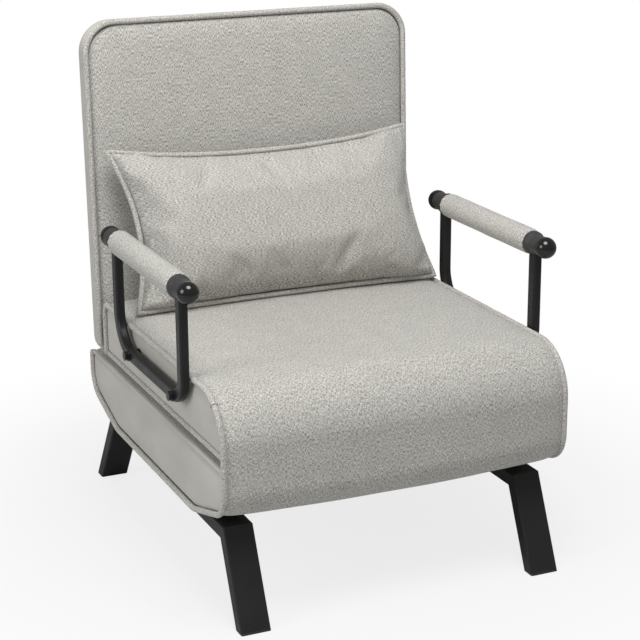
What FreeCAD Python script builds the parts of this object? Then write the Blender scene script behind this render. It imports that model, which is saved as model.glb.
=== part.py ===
import FreeCAD, Part
import os
import re
import Sketcher

# Convertible chair bed. The chair faces -Y, +Z is up and the origin is on the floor
# under the middle of the whole chair. A low base section stands on splayed legs. The
# seat section, with its armrests, folds forward over the front edge of the base, and
# the backrest reclines about the base's rear top edge, so that the three make a bed.

doc = FreeCAD.newDocument("ChairBed")
sheet = doc.addObject("Spreadsheet::Sheet", "Sizes")

# Driving dimensions in millimetres and degrees.
SIZES = {
    "overall_width": 613,
    "overall_depth": 684,
    "overall_height": 800,
    "rest_gap": 0.3,
    "overshoot": 1,
    # Legs and rails: rectangular steel tube, welded at the mitres.
    "leg_height": 141.7,
    "leg_inset": 37,
    "leg_tube_width": 46,
    "leg_tube_depth": 22,
    "leg_tube_wall": 1.5,
    "leg_tube_corner": 3,
    "front_leg_run": 65,
    "rear_leg_run": 96,
    "foot_height": 3,
    "foot_insert": 18,
    "front_leg_bolt_setback": 150,
    "rear_leg_bolt_setback": 176,
    # Upholstered sections.
    "front_setback": 20,
    "rear_setback": 50,
    "hinge_setback": 12,
    "hinge_height": 250.5,
    "slit_half": 6.5,
    "wadding": 6,
    "crown_run": 55,
    "seat_back_gap": 6,
    "corner_radius": 9,
    "piping_radius": 4.5,
    "front_crown": 7.2,
    "base_nose_radius": 46,
    "base_chine": 71,
    "base_slant": 16,
    "seat_thickness": 89,
    "seat_crown": 8,
    "seat_nose_radius": 75,
    "seat_rear_radius": 15,
    # Welded frames of square tube and the elastic webbing across them.
    "frame_tube": 25,
    "frame_wall": 1.5,
    "frame_inset": 31,
    "frame_setback": 42,
    "base_frame_rise": 34,
    "strap_width": 50,
    "strap_thickness": 2,
    "strap_inset": 5,
    # Armrests.
    "arm_clearance": 1.5,
    "arm_half_reach": 174.5,
    "arm_post_half": 146,
    "arm_sleeve_radius": 19.5,
    "arm_foam_radius": 17.5,
    "arm_rail_radius": 9,
    "arm_cap_rim": 18,
    "arm_cap_neck": 15,
    "arm_cap_lip": 6,
    "arm_cap_shoulder": 14,
    "arm_ball_radius": 16.5,
    "hoop_thickness": 14,
    "hoop_width": 20,
    "hoop_edge": 4,
    "hoop_bar_rise": 56,
    "hoop_front_bend": 45,
    "hoop_rear_bend": 70,
    "arm_bolt_front": 31,
    "arm_bolt_rear": 59,
    # Bolts.
    "bolt_radius": 4,
    "bolt_clearance": 0.3,
    "bolt_head_radius": 7.5,
    "bolt_head_height": 5.5,
    "washer_radius": 9,
    "washer_thickness": 1.6,
    # Fold hinges between base and seat.
    "fold_hinge_place": 110,
    "fold_hinge_length": 60,
    "fold_knuckle_length": 20,
    "fold_barrel_radius": 3,
    "fold_pin_radius": 1.5,
    "fold_head_radius": 2.5,
    "running_clearance": 0.05,
    "fold_leaf_thickness": 2,
    "fold_leaf_reach": 70,
    # Recline hinges between base and backrest.
    "pivot_inset": 26,
    "recline_disc_radius": 14,
    "recline_plate": 3,
    "recline_tongue": 75,
    "recline_neck": 11,
    "recline_drop": 8,
    "recline_pin_radius": 4,
    "recline_head_radius": 6.5,
    "recline_head_height": 1.8,
    # Backrest.
    "back_lean": 2,
    "back_overhang": 5,
    "back_rear_crown": 13,
    "back_boxing": 30,
    "back_front_crown": 8,
    "back_crown_run": 50,
    "back_flat_inset": 120,
    "back_top_radius": 50,
    "back_bottom_radius": 20,
    "back_foam_inset": 20,
    "back_frame_depth": 20,
    "back_foam_cover": 1,
    # Loose lumbar pillow.
    "pillow_side_gap": 14,
    "pillow_height": 262,
    "pillow_thickness": 118,
    "pillow_lean": 24,
    "pillow_corner_radius": 9,
    "pillow_side_tilt": 12,
    "pillow_long_tilt": 6,
    "pillow_wall": 4,
    "pillow_edge_run": 24,
    "pillow_shoulder_run": 64,
    "pillow_crown_run": 105,
    "pillow_piping_radius": 4,
    "pillow_seat_gap": 3.7,
    "pillow_back_gap": 1.6,
}

for row, (word, number) in enumerate(SIZES.items(), start=1):
    sheet.set("A%d" % row, str(number))
    sheet.setAlias("A%d" % row, word)
doc.recompute()

# Places that several pieces share, as expressions on the sheet's cells.
FRONT = "(-overall_depth / 2)"
REAR = "(overall_depth / 2)"
HALF_ARM = "(overall_width / 2 - arm_sleeve_radius)"
ARM_GAP = "(piping_radius + arm_clearance)"
HALF_SECTION = "(%s - hoop_thickness / 2 - %s)" % (HALF_ARM, ARM_GAP)
EDGE_BEVEL = "((piping_radius + rest_gap) * sqrt(2))"
LEG_X = "(%s - leg_inset)" % HALF_SECTION
SECTION_FRONT = "(%s + front_setback)" % FRONT
BASE_REAR = "(%s - rear_setback)" % REAR
BASE_BOTTOM = "(leg_height + rest_gap)"
BASE_TOP = "(hinge_height - slit_half)"
HINGE_Y = "(%s + hinge_setback)" % FRONT
PIVOT_Y = "(%s - pivot_inset)" % BASE_REAR
BACK_DEPTH = "(back_rear_crown + back_boxing)"
SEAT_REAR = "(%s - %s - back_front_crown - seat_back_gap)" % (PIVOT_Y, BACK_DEPTH)
SEAT_BOTTOM = "(hinge_height + slit_half)"
SEAT_TOP = "(%s + seat_thickness)" % SEAT_BOTTOM
BACK_HEIGHT = (
    "((overall_height - hinge_height - piping_radius - %s * sin(back_lean))"
    " / cos(back_lean))" % BACK_DEPTH
)
HALF_BACK = "(%s + back_overhang)" % HALF_SECTION
HOLE = "(bolt_radius + bolt_clearance)"
FRAME_HALF = "(%s - frame_inset)" % HALF_SECTION
BACK_FRAME_HALF = "(%s - recline_plate - rest_gap)" % FRAME_HALF
BASE_FRAME_Z = "(%s + base_frame_rise)" % BASE_BOTTOM
HOOP_BAR_Z = "(%s + hoop_bar_rise)" % SEAT_BOTTOM
SEAT_FRAME_Z = "(%s - frame_tube / 2)" % HOOP_BAR_Z
ARM_Y = "((%s + %s) / 2)" % (SECTION_FRONT, SEAT_REAR)
# Turned over, the sleeves stand on the floor.
ARM_Z = "(2 * hinge_height - arm_sleeve_radius)"
SLEEVE_HALF = "(arm_post_half - hoop_width / 2 - rest_gap)"

parts = []


def cells(text):
    """Write an expression with each sheet word in full."""
    def full(found):
        word = found.group(0)
        return "Sizes." + word if word in SIZES else word
    return re.sub(r"[a-z]+(?:_[a-z]+)*", full, str(text))


def value(text):
    result = sheet.evalExpression(cells(text))
    return float(getattr(result, "Value", result))


def bind(thing, name, text):
    thing.setExpression(name, cells(text))


def finish(thing, label):
    """Keep an object as a sub-part under the name of its file."""
    thing.Label = label
    parts.append(thing)
    return thing


def place(thing, low):
    for axis, text in zip("xyz", low):
        bind(thing, "Placement.Base." + axis, text)
    return thing


def box(low, size):
    thing = doc.addObject("Part::Box", "block")
    for name, text in zip(("Length", "Width", "Height"), size):
        bind(thing, name, text)
    return place(thing, low)


TURNS = {
    "x": FreeCAD.Rotation(FreeCAD.Vector(0, 1, 0), 90),
    "y": FreeCAD.Rotation(FreeCAD.Vector(1, 0, 0), -90),
    "z": FreeCAD.Rotation(),
}


def rod(start, along, radius, length):
    thing = doc.addObject("Part::Cylinder", "rod")
    thing.Placement = FreeCAD.Placement(FreeCAD.Vector(), TURNS[along])
    bind(thing, "Radius", radius)
    bind(thing, "Height", length)
    return place(thing, start)


def hexagon(start, along, radius, length):
    thing = doc.addObject("Part::Prism", "hexagon")
    thing.Polygon = 6
    thing.Placement = FreeCAD.Placement(FreeCAD.Vector(), TURNS[along])
    bind(thing, "Circumradius", radius)
    bind(thing, "Height", length)
    return place(thing, start)


def join(pieces):
    thing = doc.addObject("Part::MultiFuse", "joined")
    thing.Shapes = pieces
    return thing


def group(pieces):
    thing = doc.addObject("Part::Compound", "group")
    thing.Links = pieces
    return thing


def cut(base, tools):
    thing = doc.addObject("Part::Cut", "cut")
    thing.Base = base
    thing.Tool = tools[0] if len(tools) == 1 else join(tools)
    return thing


def origin_plane(body, role):
    return [item for item in body.Origin.OriginFeatures if item.Role == role][0]


def arc_between(start, end, radius):
    """A minor arc: to the left of travel for a positive radius, else to the right."""
    chord = end - start
    half = chord.Length / 2
    sagitta = abs(radius) - (radius * radius - half * half) ** 0.5
    side = FreeCAD.Vector(chord.y, -chord.x, 0).normalize() * sagitta
    middle = (start + end) * 0.5 + (side if radius > 0 else side * -1)
    if radius > 0:
        return Part.Arc(start, middle, end), 1, 2
    return Part.Arc(end, middle, start), 2, 1


def outline(body, plane, offset, points):
    """A sketch through points, each (across, up) or (across, up, radius of arc to it)."""
    sketch = body.newObject("Sketcher::SketchObject", "outline")
    sketch.AttachmentSupport = [(origin_plane(body, plane), "")]
    sketch.MapMode = "FlatFace"
    bind(sketch, "AttachmentOffset.Base.z", offset)
    spots = [FreeCAD.Vector(value(point[0]), value(point[1]), 0) for point in points]
    edges = []
    for index, start in enumerate(spots):
        target = (index + 1) % len(spots)
        end = spots[target]
        if len(points[target]) == 3:
            radius = points[target][2]
            curve, first, last = arc_between(start, end, value(radius))
            number = sketch.addGeometry(curve, False)
            size = abs(value(radius))
            held = sketch.addConstraint(Sketcher.Constraint("Radius", number, size))
            bind(sketch, "Constraints[%d]" % held, "abs(%s)" % radius)
        else:
            number = sketch.addGeometry(Part.LineSegment(start, end), False)
            first, last = 1, 2
        edges.append((number, first, last))
    for index, (number, _, last) in enumerate(edges):
        following, first, _ = edges[(index + 1) % len(edges)]
        sketch.addConstraint(Sketcher.Constraint("Coincident", number, last, following, first))
    for (number, first, _), spot, point in zip(edges, spots, points):
        for kind, here, text in (("DistanceX", spot.x, point[0]), ("DistanceY", spot.y, point[1])):
            held = sketch.addConstraint(Sketcher.Constraint(kind, -1, 1, number, first, here))
            bind(sketch, "Constraints[%d]" % held, text)
    return sketch


def ring(body, plane, offset, centre, radius):
    """A sketch of one circle."""
    sketch = body.newObject("Sketcher::SketchObject", "ring")
    sketch.AttachmentSupport = [(origin_plane(body, plane), "")]
    sketch.MapMode = "FlatFace"
    bind(sketch, "AttachmentOffset.Base.z", offset)
    spot = FreeCAD.Vector(value(centre[0]), value(centre[1]), 0)
    circle = Part.Circle(spot, FreeCAD.Vector(0, 0, 1), value(radius))
    number = sketch.addGeometry(circle, False)
    held = sketch.addConstraint(Sketcher.Constraint("Radius", number, value(radius)))
    bind(sketch, "Constraints[%d]" % held, radius)
    for kind, here, text in (("DistanceX", spot.x, centre[0]), ("DistanceY", spot.y, centre[1])):
        held = sketch.addConstraint(Sketcher.Constraint(kind, -1, 1, number, 3, here))
        bind(sketch, "Constraints[%d]" % held, text)
    return sketch


def slab(plane, offset, points, thickness):
    """A plate of one outline. Its thickness runs along the plane's normal."""
    body = doc.addObject("PartDesign::Body", "slab")
    pad = body.newObject("PartDesign::Pad", "thickness")
    pad.Profile = outline(body, plane, offset, points)
    bind(pad, "Length", thickness)
    return body


def loft(body, sketches, ruled):
    thing = body.newObject("PartDesign::AdditiveLoft", "loft")
    thing.Profile = sketches[0]
    thing.Sections = sketches[1:]
    thing.Ruled = ruled
    thing.Refine = False
    return thing


def piping(plane, offset, points, start):
    """A round cord along an outline whose first edge runs up from start."""
    body = doc.addObject("PartDesign::Body", "piping")
    path = outline(body, plane, offset, points)
    section = ring(body, "XY_Plane", start[2], start[:2], start[3])
    pipe = body.newObject("PartDesign::AdditivePipe", "cord")
    pipe.Profile = section
    pipe.Spine = (path, ["Edge%d" % (index + 1) for index in range(path.GeometryCount)])
    pipe.Transition = "Round corner"
    pipe.Refine = False
    return body


SIDES = (("left", "1"), ("right", "-1"))


def span(sign, inner, width):
    """Lowest X of something that lies between inner and inner plus width on one side."""
    if sign == "1":
        return inner
    return "(-(%s) - (%s))" % (inner, width)


# Legs. Each side has a front leg, a rear leg and a rail of one tube, met at mitres.
def leg_profile(foot_y, sense, run, inset, foot_z):
    """Four corners of a leg seen from the side, closed at the mitre under the rail."""
    slope = "(%s / leg_height)" % run
    wide = "(leg_tube_depth * sqrt(1 + %s ^ 2))" % slope
    thin = "(%s * sqrt(1 + %s ^ 2))" % (inset, slope)
    mitre = "(leg_tube_depth * (sqrt(1 + %s ^ 2) - %s))" % (slope, slope)
    top_y = "(%s + %s * (%s * (leg_height - %s) + %s * (%s / leg_tube_depth)))" % (
        foot_y, sense, slope, inset, mitre, inset)
    low_z = "(leg_height - leg_tube_depth + %s)" % inset
    low_y = "(%s + %s * (%s * (%s) + %s - %s))" % (foot_y, sense, slope, low_z, wide, thin)
    outer_foot = "(%s + %s * (%s * %s + %s))" % (foot_y, sense, slope, foot_z, thin)
    inner_foot = "(%s + %s * (%s * %s + %s - %s))" % (foot_y, sense, slope, foot_z, wide, thin)
    return [
        (outer_foot, foot_z),
        (inner_foot, foot_z),
        (low_y, low_z),
        (top_y, "(leg_height - %s)" % inset),
    ]


def ordered(points, sense):
    return points if sense == "1" else points[::-1]


def rounded_tube(body, shortest, longest):
    """Round a slab's corners: those of its edges in planes across X with a length between two."""
    doc.recompute()
    plain = body.Tip
    corners = []
    for index, edge in enumerate(plain.Shape.Edges, start=1):
        across = edge.BoundBox.XLength < value("rest_gap")
        if across and value(shortest) < edge.Length < value(longest):
            corners.append("Edge%d" % index)
    rounded = body.newObject("PartDesign::Fillet", "rounded")
    rounded.Base = (plain, corners)
    bind(rounded, "Radius", "leg_tube_corner")
    return body


LEGS = (("front", FRONT, "1", "front_leg_run"), ("rear", REAR, "-1", "rear_leg_run"))
inner_width = "(leg_tube_width - 2 * leg_tube_wall)"
leg_bolt_x = "(%s - frame_tube / 2)" % FRAME_HALF
LEG_BOLT_Y = (
    "(%s + front_leg_bolt_setback)" % FRONT,
    "(%s - rear_leg_bolt_setback)" % REAR,
)
foot_pieces = []
leg_bolts = []
for side, sign in SIDES:
    outer_x = span(sign, "%s - leg_tube_width / 2" % LEG_X, "leg_tube_width")
    inner_x = span(sign, "%s - %s / 2" % (LEG_X, inner_width), inner_width)
    rail_points = {}
    for end, foot_y, sense, run in LEGS:
        shell = leg_profile(foot_y, sense, run, "0", "foot_height")
        core = leg_profile(foot_y, sense, run, "leg_tube_wall", "foot_height")
        tube = rounded_tube(slab("YZ_Plane", outer_x, ordered(shell, sense), "leg_tube_width"),
                            "(2 * leg_tube_depth)", "overall_depth")
        bore = slab("YZ_Plane", inner_x, ordered(core, sense), inner_width)
        finish(cut(tube, [bore]), "leg_%s_%s" % (end, side))
        rail_points[end] = (shell[2], shell[3], core[2], core[3])
        flange = leg_profile(foot_y, sense, run, "0", "0")[:2]
        flange += leg_profile(foot_y, sense, run, "0", "foot_height")[:2][::-1]
        insert = leg_profile(foot_y, sense, run, "(leg_tube_wall + rest_gap)", "foot_height")[:2]
        insert += leg_profile(
            foot_y, sense, run, "(leg_tube_wall + rest_gap)", "(foot_height + foot_insert)"
        )[:2][::-1]
        plug_width = "(%s - 2 * rest_gap)" % inner_width
        plug_x = span(sign, "%s - %s / 2" % (LEG_X, plug_width), plug_width)
        foot_pieces.append(join([
            rounded_tube(slab("YZ_Plane", outer_x, ordered(flange, sense), "leg_tube_width"),
                         "0", "(2 * foot_height)"),
            slab("YZ_Plane", plug_x, ordered(insert, sense), plug_width),
        ]))
    front_low, front_top, front_core_low, front_core_top = rail_points["front"]
    rear_low, rear_top, rear_core_low, rear_core_top = rail_points["rear"]
    rail_shape = [front_low, rear_low, rear_top, front_top]
    rail = rounded_tube(slab("YZ_Plane", outer_x, rail_shape, "leg_tube_width"),
                        "(2 * leg_tube_depth)", "overall_depth")
    rail_bore = slab(
        "YZ_Plane", inner_x,
        [front_core_low, rear_core_low, rear_core_top, front_core_top], inner_width)
    bolt_x = "(%s * %s)" % (sign, leg_bolt_x)
    rail_holes = []
    for bolt_y in LEG_BOLT_Y:
        rail_bottom = "(leg_height - leg_tube_depth)"
        rail_holes.append(rod((bolt_x, bolt_y, "%s - overshoot" % rail_bottom), "z", HOLE,
                              "leg_tube_depth + 2 * overshoot"))
        shank = "(%s - %s + frame_tube / 2)" % (BASE_FRAME_Z, rail_bottom)
        leg_bolts.append(join([
            rod((bolt_x, bolt_y, rail_bottom), "z", "bolt_radius", shank),
            hexagon((bolt_x, bolt_y, "%s - bolt_head_height" % rail_bottom), "z",
                    "bolt_head_radius", "bolt_head_height"),
        ]))
    finish(cut(rail, [rail_bore] + rail_holes), "leg_rail_" + side)
finish(group(foot_pieces), "foot_plugs")
finish(group(leg_bolts), "leg_bolts")


# Outlines of the two box-shaped sections, seen from the side.
def base_outline(inset, crown):
    front = "(%s + %s - %s * front_crown)" % (SECTION_FRONT, inset, crown)
    rear = "(%s - %s)" % (BASE_REAR, inset)
    top = "(%s - %s)" % (BASE_TOP, inset)
    bottom = "(%s + %s)" % (BASE_BOTTOM, inset)
    nose = "(base_nose_radius - %s)" % inset
    corner = "(corner_radius - %s)" % inset
    chine = "(%s + base_chine)" % BASE_BOTTOM
    in_step = "(%s * (1 - sin(base_slant)))" % nose
    low = "(%s - %s * cos(base_slant))" % (chine, nose)
    run = "((%s - %s) / tan(base_slant))" % (low, bottom)
    return [
        (rear, chine, nose),
        (rear, "(%s - %s)" % (top, corner)),
        ("(%s - %s)" % (rear, corner), top, corner),
        ("(%s + %s)" % (front, corner), top),
        (front, "(%s - %s)" % (top, corner), corner),
        (front, chine),
        ("(%s + %s)" % (front, in_step), low, nose),
        ("(%s + %s + %s)" % (front, in_step, run), bottom),
        ("(%s - %s - %s)" % (rear, in_step, run), bottom),
        ("(%s - %s)" % (rear, in_step), low),
    ]


def seat_outline(inset, crown):
    front = "(%s + %s - %s * front_crown)" % (SECTION_FRONT, inset, crown)
    rear = "(%s - %s)" % (SEAT_REAR, inset)
    top = "(%s - %s + %s * seat_crown)" % (SEAT_TOP, inset, crown)
    bottom = "(%s + %s)" % (SEAT_BOTTOM, inset)
    nose = "(min(seat_nose_radius; seat_thickness - corner_radius - overshoot) - %s)" % inset
    corner = "(corner_radius - %s)" % inset
    back = "(seat_rear_radius - %s)" % inset
    return [
        (rear, "(%s + %s)" % (bottom, corner), corner),
        (rear, "(%s - %s)" % (top, back)),
        ("(%s - %s)" % (rear, back), top, back),
        ("(%s + %s)" % (front, nose), top),
        (front, "(%s - %s)" % (top, nose), nose),
        (front, "(%s + %s)" % (bottom, corner)),
        ("(%s + %s)" % (front, corner), bottom, corner),
        ("(%s - %s)" % (rear, corner), bottom),
    ]


HALF_CORE = "(%s - %s)" % (HALF_SECTION, EDGE_BEVEL)
CROWN_SHOULDER = "0.8"
RIBS = (
    ("-%s" % HALF_CORE, "0"),
    ("-(%s - crown_run)" % HALF_CORE, CROWN_SHOULDER),
    ("0", "1"),
    ("(%s - crown_run)" % HALF_CORE, CROWN_SHOULDER),
    (HALF_CORE, "0"),
)


def section_form(profile):
    """A crowned cushion with bevelled side edges, where its piping lies."""
    body = doc.addObject("PartDesign::Body", "form")
    loft(body, [outline(body, "YZ_Plane", x, profile("0", crown)) for x, crown in RIBS], False)
    for sign in ("-", ""):
        loft(body, [
            outline(body, "YZ_Plane", sign + HALF_CORE, profile("0", "0")),
            outline(body, "YZ_Plane", sign + HALF_SECTION, profile(EDGE_BEVEL, "0")),
        ], True)
    return body


def section_block(profile, inset):
    """The plain block inside a section, at one distance from its outline and sides."""
    return slab("YZ_Plane", "(-(%s - %s))" % (HALF_SECTION, inset), profile(inset, "0"),
                "(2 * (%s - %s))" % (HALF_SECTION, inset))


def section_piping(profile, start_y, start_z):
    """A loop of piping round each side of a section."""
    loops = []
    for _, sign in SIDES:
        x = "(%s * %s)" % (sign, HALF_SECTION)
        loops.append(piping("YZ_Plane", x, profile("0", "0"), (x, start_y, start_z, "piping_radius")))
    return group(loops)


# Welded frames: a rectangle of square tube, hollow, with webbing strapped across it.
def frame_ring(low, size, thin_axis):
    """A rectangular ring of hollow tube, lying across its thin axis."""
    outer = box(low, size)
    window_low = []
    window_size = []
    core_low = []
    core_size = []
    core_window_low = []
    core_window_size = []
    for axis, start, length in zip("xyz", low, size):
        thin = axis == thin_axis
        rim = "(-overshoot)" if thin else "frame_tube"
        core_rim = "(-overshoot)" if thin else "(frame_tube - frame_wall)"
        window_low.append("(%s + %s)" % (start, rim))
        window_size.append("(%s - 2 * %s)" % (length, rim))
        core_low.append("(%s + frame_wall)" % start)
        core_size.append("(%s - 2 * frame_wall)" % length)
        core_window_low.append("(%s + %s)" % (start, core_rim))
        core_window_size.append("(%s - 2 * %s)" % (length, core_rim))
    core = cut(box(core_low, core_size), [box(core_window_low, core_window_size)])
    return cut(cut(outer, [box(window_low, window_size)]), [core])


STRAPS = 5
BEHIND_LEAVES = "(%s + fold_leaf_reach + rest_gap)" % HINGE_Y


def straps(half, start, length, face, thin_axis, first):
    """Elastic webbing: flat straps evenly spaced along one face of a frame, none before first."""
    low_x = "(-(%s - strap_inset))" % half
    width = "(2 * (%s - strap_inset))" % half
    pieces = []
    for index in range(STRAPS):
        even = "(%s + (%d + 0.5) / %d * %s - strap_width / 2)" % (start, index, STRAPS, length)
        along = "max(%s; %s)" % (even, first)
        if thin_axis == "z":
            pieces.append(box((low_x, along, face), (width, "strap_width", "strap_thickness")))
        else:
            pieces.append(box((low_x, face, along), (width, "strap_thickness", "strap_width")))
    return group(pieces)


def grown(low, size, amount):
    return box(["(%s - %s)" % (text, amount) for text in low],
               ["(%s + 2 * %s)" % (text, amount) for text in size])


base_frame_low = ("(-%s)" % FRAME_HALF, "(%s + frame_setback)" % SECTION_FRONT, BASE_FRAME_Z)
base_frame_size = ("(2 * %s)" % FRAME_HALF,
                   "(%s - %s - 2 * frame_setback)" % (BASE_REAR, SECTION_FRONT), "frame_tube")
seat_frame_low = ("(-%s)" % FRAME_HALF, "(%s + frame_setback)" % SECTION_FRONT, SEAT_FRAME_Z)
seat_frame_size = ("(2 * %s)" % FRAME_HALF,
                   "(%s - %s - frame_setback - frame_tube)" % (SEAT_REAR, SECTION_FRONT),
                   "frame_tube")


def frame_space(low, size):
    """Room in the foam for a frame and its webbing."""
    roomy = (size[0], size[1], "(%s + strap_thickness)" % size[2])
    return grown(low, roomy, "rest_gap")


# Fold hinges. Each has a leaf on the base and one on the seat, in the slit between
# them, with interleaved barrels on a pin at the front edge.
def fold_parts(centre_x):
    """The base leaf, seat leaf, pin and the two slots for the leaves' tongues."""
    low_x = "(%s - fold_hinge_length / 2)" % centre_x
    knuckle_x = "(%s - fold_knuckle_length / 2)" % centre_x
    play = "(2 * rest_gap)"
    side_length = "((fold_hinge_length - fold_knuckle_length) / 2 - rest_gap)"
    far_x = "(%s + fold_hinge_length / 2 - %s)" % (centre_x, side_length)
    plate_y = "(%s + fold_barrel_radius + %s)" % (HINGE_Y, play)
    tongue_y = "(%s + fold_leaf_reach)" % HINGE_Y
    leaves = []
    for name, rise, stop in (("base", "-1", "(%s + frame_tube)" % BASE_FRAME_Z),
                             ("seat", "1", SEAT_FRAME_Z)):
        if rise == "1":
            plate_z = "(hinge_height + fold_barrel_radius - fold_leaf_thickness)"
            tongue_z, tongue_height = plate_z, "(%s - %s)" % (stop, plate_z)
            knuckles = [(knuckle_x, "fold_knuckle_length")]
        else:
            plate_z = "(hinge_height - fold_barrel_radius)"
            tongue_z = stop
            tongue_height = "(%s + fold_leaf_thickness - %s)" % (plate_z, stop)
            knuckles = [(low_x, side_length), (far_x, side_length)]
        solids = [
            box((low_x, plate_y, plate_z),
                ("fold_hinge_length", "(%s - %s)" % (tongue_y, plate_y), "fold_leaf_thickness")),
            box((low_x, "(%s - fold_leaf_thickness)" % tongue_y, tongue_z),
                ("fold_hinge_length", "fold_leaf_thickness", tongue_height)),
        ]
        for start, length in knuckles:
            solids.append(rod((start, HINGE_Y, "hinge_height"), "x", "fold_barrel_radius", length))
            bridge = "(%s - %s + overshoot)" % (plate_y, HINGE_Y)
            solids.append(box((start, HINGE_Y, plate_z), (length, bridge, "fold_leaf_thickness")))
        bore = rod(("(%s - overshoot)" % low_x, HINGE_Y, "hinge_height"), "x",
                   "(fold_pin_radius + running_clearance)", "(fold_hinge_length + 2 * overshoot)")
        slot = grown((low_x, "(%s - fold_leaf_thickness)" % tongue_y, tongue_z),
                     ("fold_hinge_length", "fold_leaf_thickness", tongue_height), "rest_gap")
        leaves.append((cut(join(solids), [bore]), slot))
    head = "fold_leaf_thickness"
    pin = join([
        rod(("(%s - rest_gap)" % low_x, HINGE_Y, "hinge_height"), "x", "fold_pin_radius",
            "(fold_hinge_length + 2 * rest_gap)"),
        rod(("(%s - rest_gap - %s)" % (low_x, head), HINGE_Y, "hinge_height"), "x",
            "fold_head_radius", head),
        rod(("(%s + fold_hinge_length + rest_gap)" % low_x, HINGE_Y, "hinge_height"), "x",
            "fold_head_radius", head),
    ])
    return leaves[0][0], leaves[1][0], pin, leaves[0][1], leaves[1][1]


base_leaves = []
seat_leaves = []
fold_pins = []
base_slots = []
seat_slots = []
for _, sign in SIDES:
    base_leaf, seat_leaf, pin, base_slot, seat_slot = fold_parts("(%s * fold_hinge_place)" % sign)
    base_leaves.append(base_leaf)
    seat_leaves.append(seat_leaf)
    fold_pins.append(pin)
    base_slots.append(base_slot)
    seat_slots.append(seat_slot)
finish(group(base_leaves), "fold_hinge_base_leaves")
finish(group(seat_leaves), "fold_hinge_seat_leaves")
finish(group(fold_pins), "fold_hinge_pins")


# Recline hinges. On each side a plate on the base frame and one on the backrest frame
# meet at a round boss on a riveted pin.
def back_place(thing):
    """Set a backrest piece, drawn upright about the pivot, at the pivot and leaning back."""
    bind(thing, "Placement.Base.y", PIVOT_Y)
    bind(thing, "Placement.Base.z", "hinge_height")
    bind(thing, "Placement.Rotation.Axis.x", "1")
    bind(thing, "Placement.Rotation.Axis.z", "0")
    bind(thing, "Placement.Rotation.Angle", "-back_lean")
    return thing


base_plates = []
back_plates = []
recline_pins = []
recline_slots = []
back_slots = []
for _, sign in SIDES:
    base_x = span(sign, FRAME_HALF, "recline_plate")
    back_x = span(sign, BACK_FRAME_HALF, "recline_plate")
    rear_of_frame = "(%s - frame_setback)" % BASE_REAR
    disc = rod((base_x, PIVOT_Y, "hinge_height"), "x", "recline_disc_radius", "recline_plate")
    arm = slab("YZ_Plane", base_x, [
        ("(%s - 2 * frame_tube)" % rear_of_frame, BASE_FRAME_Z),
        (rear_of_frame, BASE_FRAME_Z),
        ("(%s + recline_neck)" % PIVOT_Y, "(hinge_height - recline_drop)"),
        ("(%s - recline_neck)" % PIVOT_Y, "(hinge_height - recline_drop)"),
    ], "recline_plate")
    hole = rod(("(%s - overshoot)" % base_x, PIVOT_Y, "hinge_height"), "x",
               "recline_pin_radius", "(recline_plate + 2 * overshoot)")
    base_plates.append(cut(join([disc, arm]), [hole]))
    back_disc = rod((back_x, "0", "0"), "x", "recline_disc_radius", "recline_plate")
    tongue = box((back_x, "(-recline_disc_radius * 2)", "0"),
                 ("recline_plate", "(2 * recline_disc_radius - recline_drop)", "recline_tongue"))
    link = box((back_x, "(-recline_disc_radius * 2)", "0"),
               ("recline_plate", "(2 * recline_disc_radius)", "recline_drop"))
    back_hole = rod(("(%s - overshoot)" % back_x, "0", "0"), "x",
                    "(recline_pin_radius + running_clearance)",
                    "(recline_plate + 2 * overshoot)")
    back_plates.append(cut(join([back_disc, tongue, link]), [back_hole]))
    stack = "(2 * recline_plate + rest_gap)"
    inner = "(%s - rest_gap)" % BACK_FRAME_HALF
    outer = "(%s + %s)" % (BACK_FRAME_HALF, stack)
    pin_x = span(sign, inner, "(%s + rest_gap)" % stack)
    recline_pins.append(join([
        rod((pin_x, PIVOT_Y, "hinge_height"), "x", "recline_pin_radius",
            "(%s + rest_gap)" % stack),
        rod((span(sign, "(%s - recline_head_height)" % inner, "recline_head_height"), PIVOT_Y,
             "hinge_height"), "x", "recline_head_radius", "recline_head_height"),
        rod((span(sign, outer, "recline_head_height"), PIVOT_Y, "hinge_height"), "x",
            "recline_head_radius", "recline_head_height"),
    ]))
    slot_width = "(%s + 2 * recline_head_height + 3 * rest_gap)" % stack
    slot_x = span(sign, "(%s - recline_head_height - rest_gap)" % inner, slot_width)
    slot_front = "(%s - 2 * frame_tube - rest_gap)" % rear_of_frame
    recline_slots.append(box(
        (slot_x, slot_front, "(%s - rest_gap)" % BASE_FRAME_Z),
        (slot_width, "(%s + recline_disc_radius + overshoot - %s)" % (PIVOT_Y, slot_front),
         "(%s - %s + overshoot)" % (BASE_TOP, BASE_FRAME_Z))))
    back_slots.append(box(
        (slot_x, "(-recline_disc_radius * 2 - rest_gap)", "(-recline_disc_radius)"),
        (slot_width, "(recline_disc_radius * 2 + overshoot + rest_gap)",
         "(recline_tongue + recline_disc_radius + rest_gap)")))
finish(group(base_plates), "recline_base_plates")
finish(back_place(group(back_plates)), "recline_back_plates")
finish(group(recline_pins), "recline_pins")

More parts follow.
